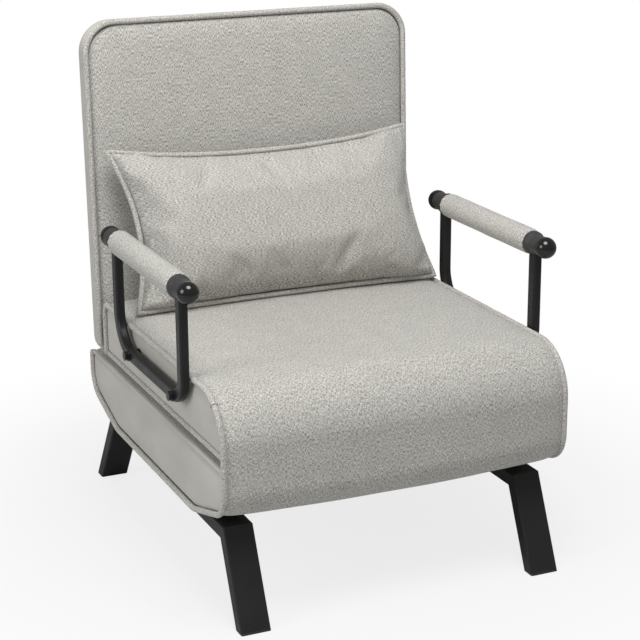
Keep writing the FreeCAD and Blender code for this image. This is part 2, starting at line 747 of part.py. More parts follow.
# Base section.
leg_bolt_holes = []
for _, sign in SIDES:
    for bolt_y in LEG_BOLT_Y:
        leg_bolt_holes.append(rod(("(%s * %s)" % (sign, leg_bolt_x), bolt_y, "leg_height"), "z",
                                  HOLE, "(%s + frame_tube / 2 - leg_height)" % BASE_FRAME_Z))
leg_holes = join(leg_bolt_holes)
base_openings = [leg_holes] + base_slots + recline_slots
finish(cut(section_form(base_outline),
           [section_block(base_outline, "wadding")] + base_openings), "base_cover")
finish(cut(section_block(base_outline, "(wadding + rest_gap)"),
           [frame_space(base_frame_low, base_frame_size)] + base_openings), "base_foam")
finish(cut(frame_ring(base_frame_low, base_frame_size, "z"), [leg_holes]),
       "base_frame")
finish(straps(FRAME_HALF, base_frame_low[1], base_frame_size[1],
              "(%s + frame_tube)" % BASE_FRAME_Z, "z", BEHIND_LEAVES), "base_webbing")
finish(section_piping(base_outline, BASE_REAR, "(%s + base_chine)" % BASE_BOTTOM), "base_piping")

# Armrests. A flat-sided steel hoop stands on the seat's side, bolted through spacers,
# and carries a rail with a padded sleeve between two ball-ended plastic caps.
arm_bolts = []
arm_spacers = []
arm_holes = []
hoop_in = "(%s - hoop_thickness / 2)" % HALF_ARM
hoop_out = "(%s + hoop_thickness / 2)" % HALF_ARM
front_post = "(%s - arm_post_half)" % ARM_Y
rear_post = "(%s + arm_post_half)" % ARM_Y
bar_low = "(%s - hoop_width / 2)" % HOOP_BAR_Z
bar_high = "(%s + hoop_width / 2)" % HOOP_BAR_Z
post_top = "(%s - arm_rail_radius)" % ARM_Z
for side, sign in SIDES:
    x_low = span(sign, hoop_in, "hoop_thickness")
    f_out = "(%s - hoop_width / 2)" % front_post
    f_in = "(%s + hoop_width / 2)" % front_post
    r_in = "(%s - hoop_width / 2)" % rear_post
    r_out = "(%s + hoop_width / 2)" % rear_post
    hoop = slab("YZ_Plane", x_low, [
        (r_out, post_top),
        (r_in, post_top),
        (r_in, "(%s + hoop_rear_bend - hoop_width)" % bar_high),
        ("(%s - (hoop_rear_bend - hoop_width))" % r_in, bar_high, "(-(hoop_rear_bend - hoop_width))"),
        ("(%s + (hoop_front_bend - hoop_width))" % f_in, bar_high),
        (f_in, "(%s + hoop_front_bend - hoop_width)" % bar_high, "(-(hoop_front_bend - hoop_width))"),
        (f_in, post_top),
        (f_out, post_top),
        (f_out, "(%s + hoop_front_bend)" % bar_low),
        ("(%s + hoop_front_bend)" % f_out, bar_low, "hoop_front_bend"),
        ("(%s - hoop_rear_bend)" % r_out, bar_low),
        (r_out, "(%s + hoop_rear_bend)" % bar_low, "hoop_rear_bend"),
    ], "hoop_thickness")
    doc.recompute()
    flat_hoop = hoop.Tip
    long_edges = []
    for index, edge in enumerate(flat_hoop.Shape.Edges, start=1):
        bounds = edge.BoundBox
        at_top = bounds.ZMin > value(post_top) - 0.001
        if bounds.XLength < 0.001 and not at_top:
            long_edges.append("Edge%d" % index)
    rounded = hoop.newObject("PartDesign::Fillet", "rounded")
    rounded.Base = (flat_hoop, long_edges)
    bind(rounded, "Radius", "hoop_edge")
    bolt_spots = ("(%s + arm_bolt_front)" % front_post, "(%s - arm_bolt_rear)" % rear_post)
    bores = []
    for bolt_y in bolt_spots:
        bore_length = "(%s + overshoot - %s + frame_tube / 2)" % (hoop_out, FRAME_HALF)
        bore_x = span(sign, "(%s - frame_tube / 2)" % FRAME_HALF, bore_length)
        bores.append(rod((bore_x, bolt_y, HOOP_BAR_Z), "x", HOLE, bore_length))
        shank = "(%s - %s + frame_tube / 2)" % (hoop_out, FRAME_HALF)
        arm_bolts.append(join([
            rod((span(sign, "(%s - frame_tube / 2)" % FRAME_HALF, shank), bolt_y,
                 HOOP_BAR_Z), "x", "bolt_radius", shank),
            rod((span(sign, hoop_out, "washer_thickness"), bolt_y, HOOP_BAR_Z), "x",
                "washer_radius", "washer_thickness"),
            hexagon((span(sign, "(%s + washer_thickness)" % hoop_out, "bolt_head_height"), bolt_y,
                     HOOP_BAR_Z), "x", "bolt_head_radius", "bolt_head_height"),
        ]))
        spacer = "(%s - rest_gap)" % ARM_GAP
        spacer_x = span(sign, "(%s + rest_gap)" % HALF_SECTION, spacer)
        arm_spacers.append(cut(
            rod((spacer_x, bolt_y, HOOP_BAR_Z), "x", "washer_radius", spacer),
            [rod((span(sign, HALF_SECTION, ARM_GAP), bolt_y, HOOP_BAR_Z), "x", HOLE, ARM_GAP)]))
    arm_holes += bores
    finish(cut(hoop, [join(bores)]), "arm_hoop_" + side)
    arm_x = "(%s * %s)" % (sign, HALF_ARM)
    rail_half = "(arm_half_reach - arm_ball_radius / 2)"
    finish(rod((arm_x, "(%s - %s)" % (ARM_Y, rail_half), ARM_Z), "y",
               "arm_rail_radius", "(2 * %s)" % rail_half), "arm_rail_" + side)
    sleeve_start = (arm_x, "(%s - %s)" % (ARM_Y, SLEEVE_HALF), ARM_Z)
    sleeve_length = "(2 * %s)" % SLEEVE_HALF
    finish(cut(rod(sleeve_start, "y", "arm_foam_radius", sleeve_length),
               [rod(sleeve_start, "y", "(arm_rail_radius + rest_gap)", sleeve_length)]),
           "arm_foam_" + side)
    finish(cut(rod(sleeve_start, "y", "arm_sleeve_radius", sleeve_length),
               [rod(sleeve_start, "y", "(arm_foam_radius + rest_gap)", sleeve_length)]),
           "arm_sleeve_" + side)
    for end, sense in (("front", "-1"), ("rear", "1")):
        ball_y = "(%s * arm_half_reach)" % sense
        start_y = "(%s * (%s + rest_gap))" % (sense, SLEEVE_HALF)
        body = doc.addObject("PartDesign::Body", "cap")
        turned = body.newObject("PartDesign::Revolution", "turned")
        lip = "(%s + %s * arm_cap_lip)" % (start_y, sense)
        waist = "(%s + %s * arm_cap_shoulder)" % (start_y, sense)
        meet = "(%s - %s * sqrt(arm_ball_radius ^ 2 - arm_cap_neck ^ 2))" % (ball_y, sense)
        tip = "(%s + %s * arm_ball_radius)" % (ball_y, sense)
        blind = "(%s * (%s + rest_gap))" % (sense, rail_half)
        bore = "(arm_rail_radius + rest_gap)"
        turned.Profile = outline(body, "YZ_Plane", "0", [
            (start_y, bore),
            (blind, bore),
            (blind, "0"),
            (tip, "0"),
            (meet, "arm_cap_neck", "(%s * arm_ball_radius)" % sense),
            (waist, "arm_cap_neck"),
            (lip, "arm_cap_rim"),
            (start_y, "arm_cap_rim"),
        ])
        turned.ReferenceAxis = ([item for item in body.Origin.OriginFeatures
                                 if item.Role == "Y_Axis"][0], [""])
        turned.Angle = 360
        bind(body, "Placement.Base.x", arm_x)
        bind(body, "Placement.Base.y", ARM_Y)
        bind(body, "Placement.Base.z", ARM_Z)
        post = front_post if end == "front" else rear_post
        notch = box(("(%s - hoop_thickness / 2 - rest_gap)" % arm_x,
                     "(%s - hoop_width / 2 - rest_gap)" % post,
                     "(%s - 2 * arm_cap_rim)" % ARM_Z),
                    ("(hoop_thickness + 2 * rest_gap)", "(hoop_width + 2 * rest_gap)",
                     "(2 * arm_cap_rim)"))
        finish(cut(body, [notch]), "arm_cap_%s_%s" % (end, side))
finish(group(arm_bolts), "arm_bolts")
finish(group(arm_spacers), "arm_spacers")

# Seat section.
arm_bores = join(arm_holes)
finish(cut(section_form(seat_outline),
           [section_block(seat_outline, "wadding"), arm_bores] + seat_slots), "seat_cover")
finish(cut(section_block(seat_outline, "(wadding + rest_gap)"),
           [frame_space(seat_frame_low, seat_frame_size), arm_bores] + seat_slots), "seat_foam")
finish(cut(frame_ring(seat_frame_low, seat_frame_size, "z"), [arm_bores]),
       "seat_frame")
finish(straps(FRAME_HALF, seat_frame_low[1], seat_frame_size[1],
              "(%s + frame_tube)" % SEAT_FRAME_Z, "z", BEHIND_LEAVES), "seat_webbing")
finish(section_piping(seat_outline, SEAT_REAR, "(%s + corner_radius)" % SEAT_BOTTOM),
       "seat_piping")


# Backrest, drawn upright with its pivot at the origin and its rear face at Y 0.
def back_outline(inset, low_radius, high_radius):
    half = "(%s - %s)" % (HALF_BACK, inset)
    low = "(slit_half + %s)" % inset
    high = "(%s - %s)" % (BACK_HEIGHT, inset)
    return [
        (half, "(%s + %s)" % (low, low_radius), low_radius),
        (half, "(%s - %s)" % (high, high_radius)),
        ("(%s - %s)" % (half, high_radius), high, high_radius),
        ("(-(%s - %s))" % (half, high_radius), high),
        ("(-%s)" % half, "(%s - %s)" % (high, high_radius), high_radius),
        ("(-%s)" % half, "(%s + %s)" % (low, low_radius)),
        ("(-(%s - %s))" % (half, low_radius), low, low_radius),
        ("(%s - %s)" % (half, low_radius), low),
    ]


def back_layer(body, depth, inset):
    """One outline of the backrest, at a depth in front of its rear face."""
    return outline(body, "XZ_Plane", depth,
                   back_outline(inset, "back_bottom_radius", "back_top_radius"))


back_form = doc.addObject("PartDesign::Body", "back_form")
piped_depth = BACK_DEPTH
BACK_SHOULDER = "0.7"
loft(back_form, [back_layer(back_form, "back_rear_crown", "0"),
                 back_layer(back_form, "(%s - %s)" % (piped_depth, EDGE_BEVEL), "0"),
                 back_layer(back_form, piped_depth, EDGE_BEVEL)], True)
loft(back_form, [back_layer(back_form, piped_depth, EDGE_BEVEL),
                 back_layer(back_form, "(%s + %s * back_front_crown)" % (piped_depth, BACK_SHOULDER),
                            "back_crown_run"),
                 back_layer(back_form, "(%s + back_front_crown)" % piped_depth,
                            "back_flat_inset")], False)
loft(back_form, [back_layer(back_form, "back_rear_crown", "0"),
                 back_layer(back_form, "(back_rear_crown * (1 - %s))" % BACK_SHOULDER,
                            "back_crown_run"),
                 back_layer(back_form, "rest_gap", "back_flat_inset")], False)

foam_front = "(%s - back_foam_cover)" % BACK_DEPTH
foam_rear = "(back_rear_crown - back_foam_cover)"


def back_block(inset, amount):
    return slab("XZ_Plane", "(%s - %s)" % (foam_rear, amount),
                back_outline(inset, "back_bottom_radius", "back_bottom_radius"),
                "(%s - %s + 2 * %s)" % (foam_front, foam_rear, amount))


back_frame_low = ("(-%s)" % BACK_FRAME_HALF, "(-%s - back_frame_depth)" % foam_rear,
                  "(slit_half + back_foam_inset + frame_tube)")
back_frame_size = ("(2 * %s)" % BACK_FRAME_HALF, "back_frame_depth",
                   "(%s - slit_half - 2 * back_foam_inset - 2 * frame_tube)" % BACK_HEIGHT)
back_space = box(
    ["(%s - rest_gap)" % back_frame_low[0],
     "(%s - strap_thickness - rest_gap)" % back_frame_low[1],
     "(%s - rest_gap)" % back_frame_low[2]],
    ["(%s + 2 * rest_gap)" % back_frame_size[0],
     "(%s + strap_thickness + 2 * rest_gap)" % back_frame_size[1],
     "(%s + 2 * rest_gap)" % back_frame_size[2]])
finish(back_place(cut(back_form, [back_block("(back_foam_inset - rest_gap)", "rest_gap")]
                      + back_slots)), "back_cover")
finish(back_place(cut(back_block("back_foam_inset", "0"), [back_space] + back_slots)),
       "back_foam")
finish(back_place(frame_ring(back_frame_low, back_frame_size, "y")), "back_frame")
finish(back_place(straps(BACK_FRAME_HALF, back_frame_low[2], back_frame_size[2],
                         "(%s - strap_thickness)" % back_frame_low[1], "y",
                         back_frame_low[2])), "back_webbing")
finish(back_place(piping(
    "XZ_Plane", piped_depth, back_outline("0", "back_bottom_radius", "back_top_radius"),
    (HALF_BACK, "(-%s)" % piped_depth, "(slit_half + back_bottom_radius)", "piping_radius"))),
    "back_piping")

# Lumbar pillow, drawn upright about its own middle.
PILLOW_HALF = "(%s - pillow_side_gap)" % HALF_SECTION


def pillow_outline(inset, corner):
    """Four rounded corners, with arcs between them that draw the sides in."""
    half = "(%s - %s - %s)" % (PILLOW_HALF, inset, corner)
    tall = "(pillow_height / 2 - %s - %s)" % (inset, corner)
    side_x = "(%s + %s * cos(pillow_side_tilt))" % (half, corner)
    side_z = "(%s - %s * sin(pillow_side_tilt))" % (tall, corner)
    long_x = "(%s - %s * sin(pillow_long_tilt))" % (half, corner)
    long_z = "(%s + %s * cos(pillow_long_tilt))" % (tall, corner)
    side_radius = "(-%s / sin(pillow_side_tilt))" % side_z
    long_radius = "(-%s / sin(pillow_long_tilt))" % long_x
    return [
        (side_x, "(-%s)" % side_z, corner),
        (side_x, side_z, side_radius),
        (long_x, long_z, corner),
        ("(-%s)" % long_x, long_z, long_radius),
        ("(-%s)" % side_x, side_z, corner),
        ("(-%s)" % side_x, "(-%s)" % side_z, side_radius),
        ("(-%s)" % long_x, "(-%s)" % long_z, corner),
        (long_x, "(-%s)" % long_z, long_radius),
    ]


EDGE_SHARE = "0.5"
SHOULDER_SHARE = "0.88"
PILLOW_LAYERS = ((EDGE_SHARE, "pillow_edge_run"), (SHOULDER_SHARE, "pillow_shoulder_run"),
                 ("1", "pillow_crown_run"))


def pillow_form(wall):
    """Two crowned halves that meet at the seam, wall inside the pillow's own surface."""
    body = doc.addObject("PartDesign::Body", "pillow_form")
    thick = "(pillow_thickness / 2 - %s)" % wall
    for sense in ("", "-1 * "):
        layers = [outline(body, "XZ_Plane", "0",
                          pillow_outline("(%s * 2)" % wall, "pillow_corner_radius"))]
        for share, inset in PILLOW_LAYERS:
            layers.append(outline(body, "XZ_Plane", "%s(%s * %s)" % (sense, share, thick),
                                  pillow_outline("(%s + %s)" % (inset, wall),
                                                 "pillow_corner_radius")))
        loft(body, layers, False)
    return body


# The pillow stands on its piping and its rear shoulder rests on the backrest.
PILLOW_RISE = (
    "((pillow_height / 2 + pillow_piping_radius + rest_gap) * cos(pillow_lean)"
    " + pillow_piping_radius + pillow_seat_gap)"
)
SHOULDER_Z = "(pillow_height / 2 - pillow_shoulder_run)"
PILLOW_SETBACK = (
    "(%s * pillow_thickness / 2 * cos(pillow_lean) + %s * sin(pillow_lean) - seat_back_gap"
    " - (%s + %s + %s - hinge_height) * tan(back_lean) + pillow_back_gap)"
    % (SHOULDER_SHARE, SHOULDER_Z, SEAT_TOP, PILLOW_RISE, SHOULDER_Z)
)


def pillow_place(thing):
    bind(thing, "Placement.Base.y", "(%s - %s)" % (SEAT_REAR, PILLOW_SETBACK))
    bind(thing, "Placement.Base.z", "(%s + %s)" % (SEAT_TOP, PILLOW_RISE))
    bind(thing, "Placement.Rotation.Axis.x", "1")
    bind(thing, "Placement.Rotation.Axis.z", "0")
    bind(thing, "Placement.Rotation.Angle", "-pillow_lean")
    return thing


finish(pillow_place(cut(pillow_form("0"), [pillow_form("pillow_wall")])), "pillow_cover")
finish(pillow_place(pillow_form("(pillow_wall + rest_gap)")), "pillow_filling")


def pillow_piping_path():
    """The seam outline moved out by one cord radius, from the middle of one side."""
    out = "(pillow_piping_radius + rest_gap)"
    corners = pillow_outline("(-%s)" % out, "(pillow_corner_radius + %s)" % out)
    side_x, side_z, side_radius = corners[1]
    middle = "(%s - %s * (1 - cos(pillow_side_tilt)) / sin(pillow_side_tilt))" % (side_x, side_z)
    path = [(middle, "0", side_radius)] + corners[1:] + corners[:1]
    return path, (middle, "0", "0", "pillow_piping_radius")


finish(pillow_place(piping("XZ_Plane", "0", *pillow_piping_path())), "pillow_piping")

doc.recompute()
for item in doc.Objects:
    if "Invalid" in item.State or "Error" in item.State:
        raise RuntimeError("%s failed: %s" % (item.Name, item.State))
for item in parts:
    if item.Shape.isNull() or not item.Shape.isValid():
        raise RuntimeError("%s has no valid shape" % item.Label)

os.makedirs("parts", exist_ok=True)
for item in parts:
    item.Shape.exportStep("parts/%s.step" % item.Label)
    print("%-24s %9.1f cm3, %d solids" % (item.Label, item.Shape.Volume / 1000,
                                          len(item.Shape.Solids)))
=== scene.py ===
import math

import bmesh
import bpy
import numpy as np
from mathutils import Matrix, Vector, noise
from mathutils.bvhtree import BVHTree


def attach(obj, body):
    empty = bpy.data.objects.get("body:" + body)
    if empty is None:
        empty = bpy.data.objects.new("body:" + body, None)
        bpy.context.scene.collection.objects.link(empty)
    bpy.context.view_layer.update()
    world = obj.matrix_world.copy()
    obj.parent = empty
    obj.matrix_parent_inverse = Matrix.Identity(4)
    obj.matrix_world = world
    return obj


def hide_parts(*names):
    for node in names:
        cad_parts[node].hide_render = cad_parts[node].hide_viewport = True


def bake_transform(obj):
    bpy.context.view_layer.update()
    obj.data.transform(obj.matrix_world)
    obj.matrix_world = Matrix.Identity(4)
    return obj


# Convertible chair bed. Every size is in metres, in the chair's own frame: the chair
# faces -Y, +Z is up and the floor is at Z 0.
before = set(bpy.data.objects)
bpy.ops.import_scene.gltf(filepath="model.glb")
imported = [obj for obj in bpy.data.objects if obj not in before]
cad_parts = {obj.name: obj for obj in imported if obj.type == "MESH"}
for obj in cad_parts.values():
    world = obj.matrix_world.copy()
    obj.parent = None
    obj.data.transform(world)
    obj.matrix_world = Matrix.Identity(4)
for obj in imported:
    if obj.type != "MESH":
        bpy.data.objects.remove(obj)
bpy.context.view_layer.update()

# Room. A pale floor and white surroundings, one wide lamp overhead, one at the chair's
# right, and a camera on a tall stand in front of the chair's right arm.
CAMERA_PLACE = Vector((-1.082, -2.472, 1.173))
CAMERA_AZIMUTH = math.radians(23.95)
CAMERA_DIP = math.radians(17.15)
CAMERA_ROLL = math.radians(-0.32)
CAMERA_LENS = 100.2

forward = Vector((
    math.sin(CAMERA_AZIMUTH) * math.cos(CAMERA_DIP),
    math.cos(CAMERA_AZIMUTH) * math.cos(CAMERA_DIP),
    -math.sin(CAMERA_DIP),
))
level = forward.cross(Vector((0, 0, 1))).normalized()
over = level.cross(forward)
across = level * math.cos(CAMERA_ROLL) + over * math.sin(CAMERA_ROLL)
camera = bpy.data.objects.new("camera", bpy.data.cameras.new("camera"))
camera.data.lens = CAMERA_LENS
camera.data.sensor_width = 36
camera.matrix_world = Matrix((across, across.cross(forward), -forward)).transposed().to_4x4()
camera.matrix_world = Matrix.Translation(CAMERA_PLACE) @ camera.matrix_world
bpy.context.scene.collection.objects.link(camera)
bpy.context.scene.camera = camera
bpy.context.scene.view_settings.view_transform = "Standard"


def node(tree, kind, inputs=(), **settings):
    """A shader node. inputs maps a socket's name or number to a value or another node's output."""
    made = tree.nodes.new(kind)
    for name, setting in settings.items():
        setattr(made, name, setting)
    for name, source in dict(inputs).items():
        if isinstance(source, bpy.types.NodeSocket):
            tree.links.new(source, made.inputs[name])
        else:
            made.inputs[name].default_value = source
    return made


def lamp(name, place, target, size, watts):
    light = bpy.data.lights.new(name, "AREA")
    light.shape = "DISK"
    light.size = size
    light.energy = watts
    holder = bpy.data.objects.new(name, light)
    holder.location = place
    holder.rotation_euler = (Vector(target) - Vector(place)).to_track_quat("-Z", "Y").to_euler()
    bpy.context.scene.collection.objects.link(holder)


lamp("lamp_overhead", (-0.2, -0.85, 2.3), (0, 0, 0.4), 1.2, 38)
lamp("lamp_side", (-2.7, -0.5, 1.5), (0, 0, 0.4), 1.5, 29)

surroundings = bpy.data.worlds.new("surroundings")
surroundings.use_nodes = True
bpy.context.scene.world = surroundings
tree = surroundings.node_tree
tree.nodes.clear()
path = node(tree, "ShaderNodeLightPath")
fill = node(tree, "ShaderNodeBackground", {"Color": (1, 1, 1, 1), "Strength": 0.36})
white = node(tree, "ShaderNodeBackground", {"Color": (1, 1, 1, 1), "Strength": 1.0})
mixed = node(tree, "ShaderNodeMixShader", {0: path.outputs["Is Camera Ray"],
                                           1: fill.outputs[0], 2: white.outputs[0]})
node(tree, "ShaderNodeOutputWorld", {"Surface": mixed.outputs[0]})

FLOOR_HALF = 24.0
floor_mesh = bpy.data.meshes.new("floor")
floor_mesh.from_pydata(
    [(-FLOOR_HALF, -FLOOR_HALF, 0), (FLOOR_HALF, -FLOOR_HALF, 0),
     (FLOOR_HALF, FLOOR_HALF, 0), (-FLOOR_HALF, FLOOR_HALF, 0)], [], [(0, 1, 2, 3)])
floor = bpy.data.objects.new("floor", floor_mesh)
bpy.context.scene.collection.objects.link(floor)
floor_paint = bpy.data.materials.new("floor_paint")
floor_paint.use_nodes = True
tree = floor_paint.node_tree
tree.nodes.clear()
path = node(tree, "ShaderNodeLightPath")
matt = node(tree, "ShaderNodeBsdfDiffuse", {"Color": (0.6, 0.6, 0.6, 1)})
glow = node(tree, "ShaderNodeEmission", {"Color": (1, 1, 1, 1), "Strength": 1.0})
reach = node(tree, "ShaderNodeVectorMath",
             {0: node(tree, "ShaderNodeTexCoord").outputs["Object"]}, operation="LENGTH")
fade = node(tree, "ShaderNodeMapRange", {"Value": reach.outputs["Value"], "From Min": 0.35,
                                         "From Max": 1.0, "To Min": 0.8, "To Max": 1.0},
            interpolation_type="SMOOTHSTEP")
share = node(tree, "ShaderNodeMath", {0: path.outputs["Is Camera Ray"], 1: fade.outputs[0]},
             operation="MULTIPLY")
mixed = node(tree, "ShaderNodeMixShader", {0: share.outputs[0], 1: matt.outputs[0],
                                           2: glow.outputs[0]})
node(tree, "ShaderNodeOutputMaterial", {"Surface": mixed.outputs[0]})
floor_mesh.materials.append(floor_paint)


# Legs. Two side frames of rectangular steel tube, each a front leg, a rear leg and a
# rail, mitred, welded and powder-coated matt black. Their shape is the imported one.
def finish_of(name, colour, roughness, metallic=0.0):
    """A new material with its colour and shader, ready for its own texture."""
    material = bpy.data.materials.new(name)
    material.use_nodes = True
    tree = material.node_tree
    surface = tree.nodes["Principled BSDF"]
    surface.inputs["Base Color"].default_value = (*colour, 1)
    surface.inputs["Roughness"].default_value = roughness
    surface.inputs["Metallic"].default_value = metallic
    return material, tree, surface


def varied(tree, source, low, high):
    """A value from low to high as source goes from its usual low to its usual high."""
    return node(tree, "ShaderNodeMapRange", {"Value": source, "From Min": 0.3, "From Max": 0.7,
                                             "To Min": low, "To Max": high}).outputs[0]


def bumped(tree, surface, height, depth):
    """Raise the surface by height times depth."""
    made = node(tree, "ShaderNodeBump", {"Height": height, "Distance": depth, "Strength": 1.0})
    tree.links.new(made.outputs[0], surface.inputs["Normal"])


def powder_coat(name, colour, roughness):
    """Baked-on paint: a fine orange-peel grain, with faint patches of more and less gloss."""
    material, tree, surface = finish_of(name, colour, roughness)
    place = node(tree, "ShaderNodeTexCoord").outputs["Object"]
    peel = node(tree, "ShaderNodeTexNoise", {"Vector": place, "Scale": 1100.0, "Detail": 2.0})
    patches = node(tree, "ShaderNodeTexNoise", {"Vector": place, "Scale": 22.0, "Detail": 4.0})
    gloss = varied(tree, patches.outputs[0], roughness - 0.06, roughness + 0.06)
    tree.links.new(gloss, surface.inputs["Roughness"])
    tone = node(tree, "ShaderNodeMix", {"Factor": patches.outputs[0], "A": (*colour, 1),
                                        "B": (*[part * 1.35 for part in colour], 1)},
                data_type="RGBA")
    tree.links.new(tone.outputs["Result"], surface.inputs["Base Color"])
    bumped(tree, surface, peel.outputs[0], 0.00006)
    surface.inputs["Specular IOR Level"].default_value = 0.32
    return material


def dress(names, material):
    """Give CAD nodes their finish."""
    for name in names:
        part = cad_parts[name]
        part.data.materials.clear()
        part.data.materials.append(material)


SIDES = (("left", 1), ("right", -1))
leg_paint = powder_coat("leg_paint", (0.010, 0.010, 0.010), 0.5)
dress(["leg_%s_%s" % (part, side) for part in ("front", "rear", "rail") for side, _ in SIDES],
      leg_paint)


# Feet. Plugs of black plastic, injection moulded and pressed into the open ends of the
# leg tubes, so that the steel doesn't scratch the floor.
def moulded(name, colour, roughness):
    """Moulded plastic: a fine grain, with faint scuffs that change its gloss."""
    material, tree, surface = finish_of(name, colour, roughness)
    place = node(tree, "ShaderNodeTexCoord").outputs["Object"]
    grain = node(tree, "ShaderNodeTexNoise", {"Vector": place, "Scale": 2600.0, "Detail": 1.0})
    scuffs = node(tree, "ShaderNodeTexNoise", {"Vector": place, "Scale": 60.0, "Detail": 6.0})
    tree.links.new(varied(tree, scuffs.outputs[0], roughness - 0.08, roughness + 0.08),
                   surface.inputs["Roughness"])
    bumped(tree, surface, grain.outputs[0], 0.00004)
    return material


dress(["foot_plugs"], moulded("foot_plastic", (0.014, 0.014, 0.014), 0.6))


# Hidden steel: the welded frames, the bare rails inside the armrests, the zinc-plated
# fold and recline fittings with their pins, and the black bolts and spacers.
def plated(name, colour, roughness, stretch):
    """Worked metal: fine brush lines, drawn out along one way."""
    material, tree, surface = finish_of(name, colour, roughness, 1.0)
    place = node(tree, "ShaderNodeTexCoord").outputs["Object"]
    drawn = node(tree, "ShaderNodeMapping", {"Vector": place, "Scale": stretch})
    lines = node(tree, "ShaderNodeTexNoise", {"Vector": drawn.outputs[0], "Scale": 500.0,
                                              "Detail": 3.0})
    tree.links.new(varied(tree, lines.outputs[0], roughness - 0.1, roughness + 0.1),
                   surface.inputs["Roughness"])
    bumped(tree, surface, lines.outputs[0], 0.00003)
    return material


frame_paint = powder_coat("frame_paint", (0.03, 0.03, 0.03), 0.5)
zinc = plated("zinc_plate", (0.62, 0.62, 0.60), 0.34, (1.0, 0.2, 1.0))
bare_steel = plated("bare_steel", (0.50, 0.50, 0.51), 0.4, (1.0, 0.05, 1.0))
black_oxide = powder_coat("black_oxide", (0.010, 0.010, 0.011), 0.3)
dress(["base_frame", "seat_frame", "back_frame"], frame_paint)
dress(["arm_rail_left", "arm_rail_right"], bare_steel)
dress(["fold_hinge_base_leaves", "fold_hinge_seat_leaves", "fold_hinge_pins",
       "recline_base_plates", "recline_back_plates", "recline_pins"], zinc)
dress(["leg_bolts", "arm_bolts", "arm_spacers"], black_oxide)


# Webbing. Flat elastic straps, black with a ribbed face. They are stretched and fixed
# across the steel frames, and carry the foam.
webbing, tree, surface = finish_of("webbing", (0.02, 0.02, 0.021), 0.85)
place = node(tree, "ShaderNodeTexCoord").outputs["Object"]
ribs = node(tree, "ShaderNodeTexWave", {"Vector": place, "Scale": 160.0, "Distortion": 0.6},
            bands_direction="X")
bumped(tree, surface, ribs.outputs[0], 0.0003)
dress(["base_webbing", "seat_webbing", "back_webbing"], webbing)


# Woven cover. One piece of heathered linen-look cloth over both foam blocks: it runs over
# the seat, down the nose and the front and under the base, and bends at the fold. It is
# drawn tight over the foam and sewn into the edge cords at both sides.
def woven(name, dark, light, thread, upright=1.0):
    """Plain-weave cloth of two-tone yarn, thread apart. upright, up to 2, is how much warp shows."""
    material, tree, surface = finish_of(name, light, 0.9)
    laid = node(tree, "ShaderNodeAttribute", attribute_name="cloth").outputs["Vector"]

    def flecks(pitch, along, detail):
        stretch = (1 / pitch, 1 / pitch / along, 0) if along > 1 else (along / pitch, 1 / pitch, 0)
        place = node(tree, "ShaderNodeVectorMath", {0: laid, 1: stretch}, operation="MULTIPLY")
        return node(tree, "ShaderNodeTexNoise", {"Vector": place.outputs[0], "Scale": 1.0,
                                                 "Detail": detail}).outputs[0]

    warp = flecks(thread, 6.0, 0.0)
    weft = flecks(thread, 1 / 6.0, 0.0)
    slubs = flecks(thread * 1.3, 7.0 if upright > 0.9 else 1 / 7.0, 0.0)
    faded = flecks(0.03, 1.0, 4.0)
    shown = node(tree, "ShaderNodeMath", {0: warp, 1: upright}, operation="MULTIPLY")
    yarn = node(tree, "ShaderNodeMath", {0: weft, 1: 2 - upright, 2: shown.outputs[0]},
                operation="MULTIPLY_ADD")
    fleck = node(tree, "ShaderNodeMapRange", {"Value": yarn.outputs[0], "From Min": 0.72,
                                              "From Max": 1.24})
    tone = node(tree, "ShaderNodeMix", {"Factor": fleck.outputs[0], "A": (*dark, 1),
                                        "B": (*light, 1)}, data_type="RGBA")
    slub = node(tree, "ShaderNodeMapRange", {"Value": slubs, "From Min": 0.30, "From Max": 0.38,
                                             "To Min": 0.72, "To Max": 1.0})
    wear = node(tree, "ShaderNodeMapRange", {"Value": faded, "From Min": 0.3, "From Max": 0.7,
                                             "To Min": 0.955, "To Max": 1.045})
    depth = node(tree, "ShaderNodeMath", {0: slub.outputs[0], 1: wear.outputs[0]},
                 operation="MULTIPLY")
    dyed = node(tree, "ShaderNodeVectorMath", {0: tone.outputs["Result"],
                                               "Scale": depth.outputs[0]}, operation="SCALE")
    tree.links.new(dyed.outputs[0], surface.inputs["Base Color"])
    split = node(tree, "ShaderNodeSeparateXYZ", {0: laid})
    knots = []
    for axis in range(2):
        turns = node(tree, "ShaderNodeMath", {0: split.outputs[axis], 1: math.pi / thread},
                     operation="MULTIPLY")
        knots.append(node(tree, "ShaderNodeMath", {0: turns.outputs[0]}, operation="SINE"))
    weave = node(tree, "ShaderNodeMath", {0: knots[0].outputs[0], 1: knots[1].outputs[0]},
                 operation="MULTIPLY")
    relief = node(tree, "ShaderNodeMath", {0: weave.outputs[0], 1: 0.35, 2: yarn.outputs[0]},
                  operation="MULTIPLY_ADD")
    bumped(tree, surface, relief.outputs[0], 0.00004)
    surface.inputs["Sheen Weight"].default_value = 0.12
    surface.inputs["Sheen Roughness"].default_value = 0.5
    return material


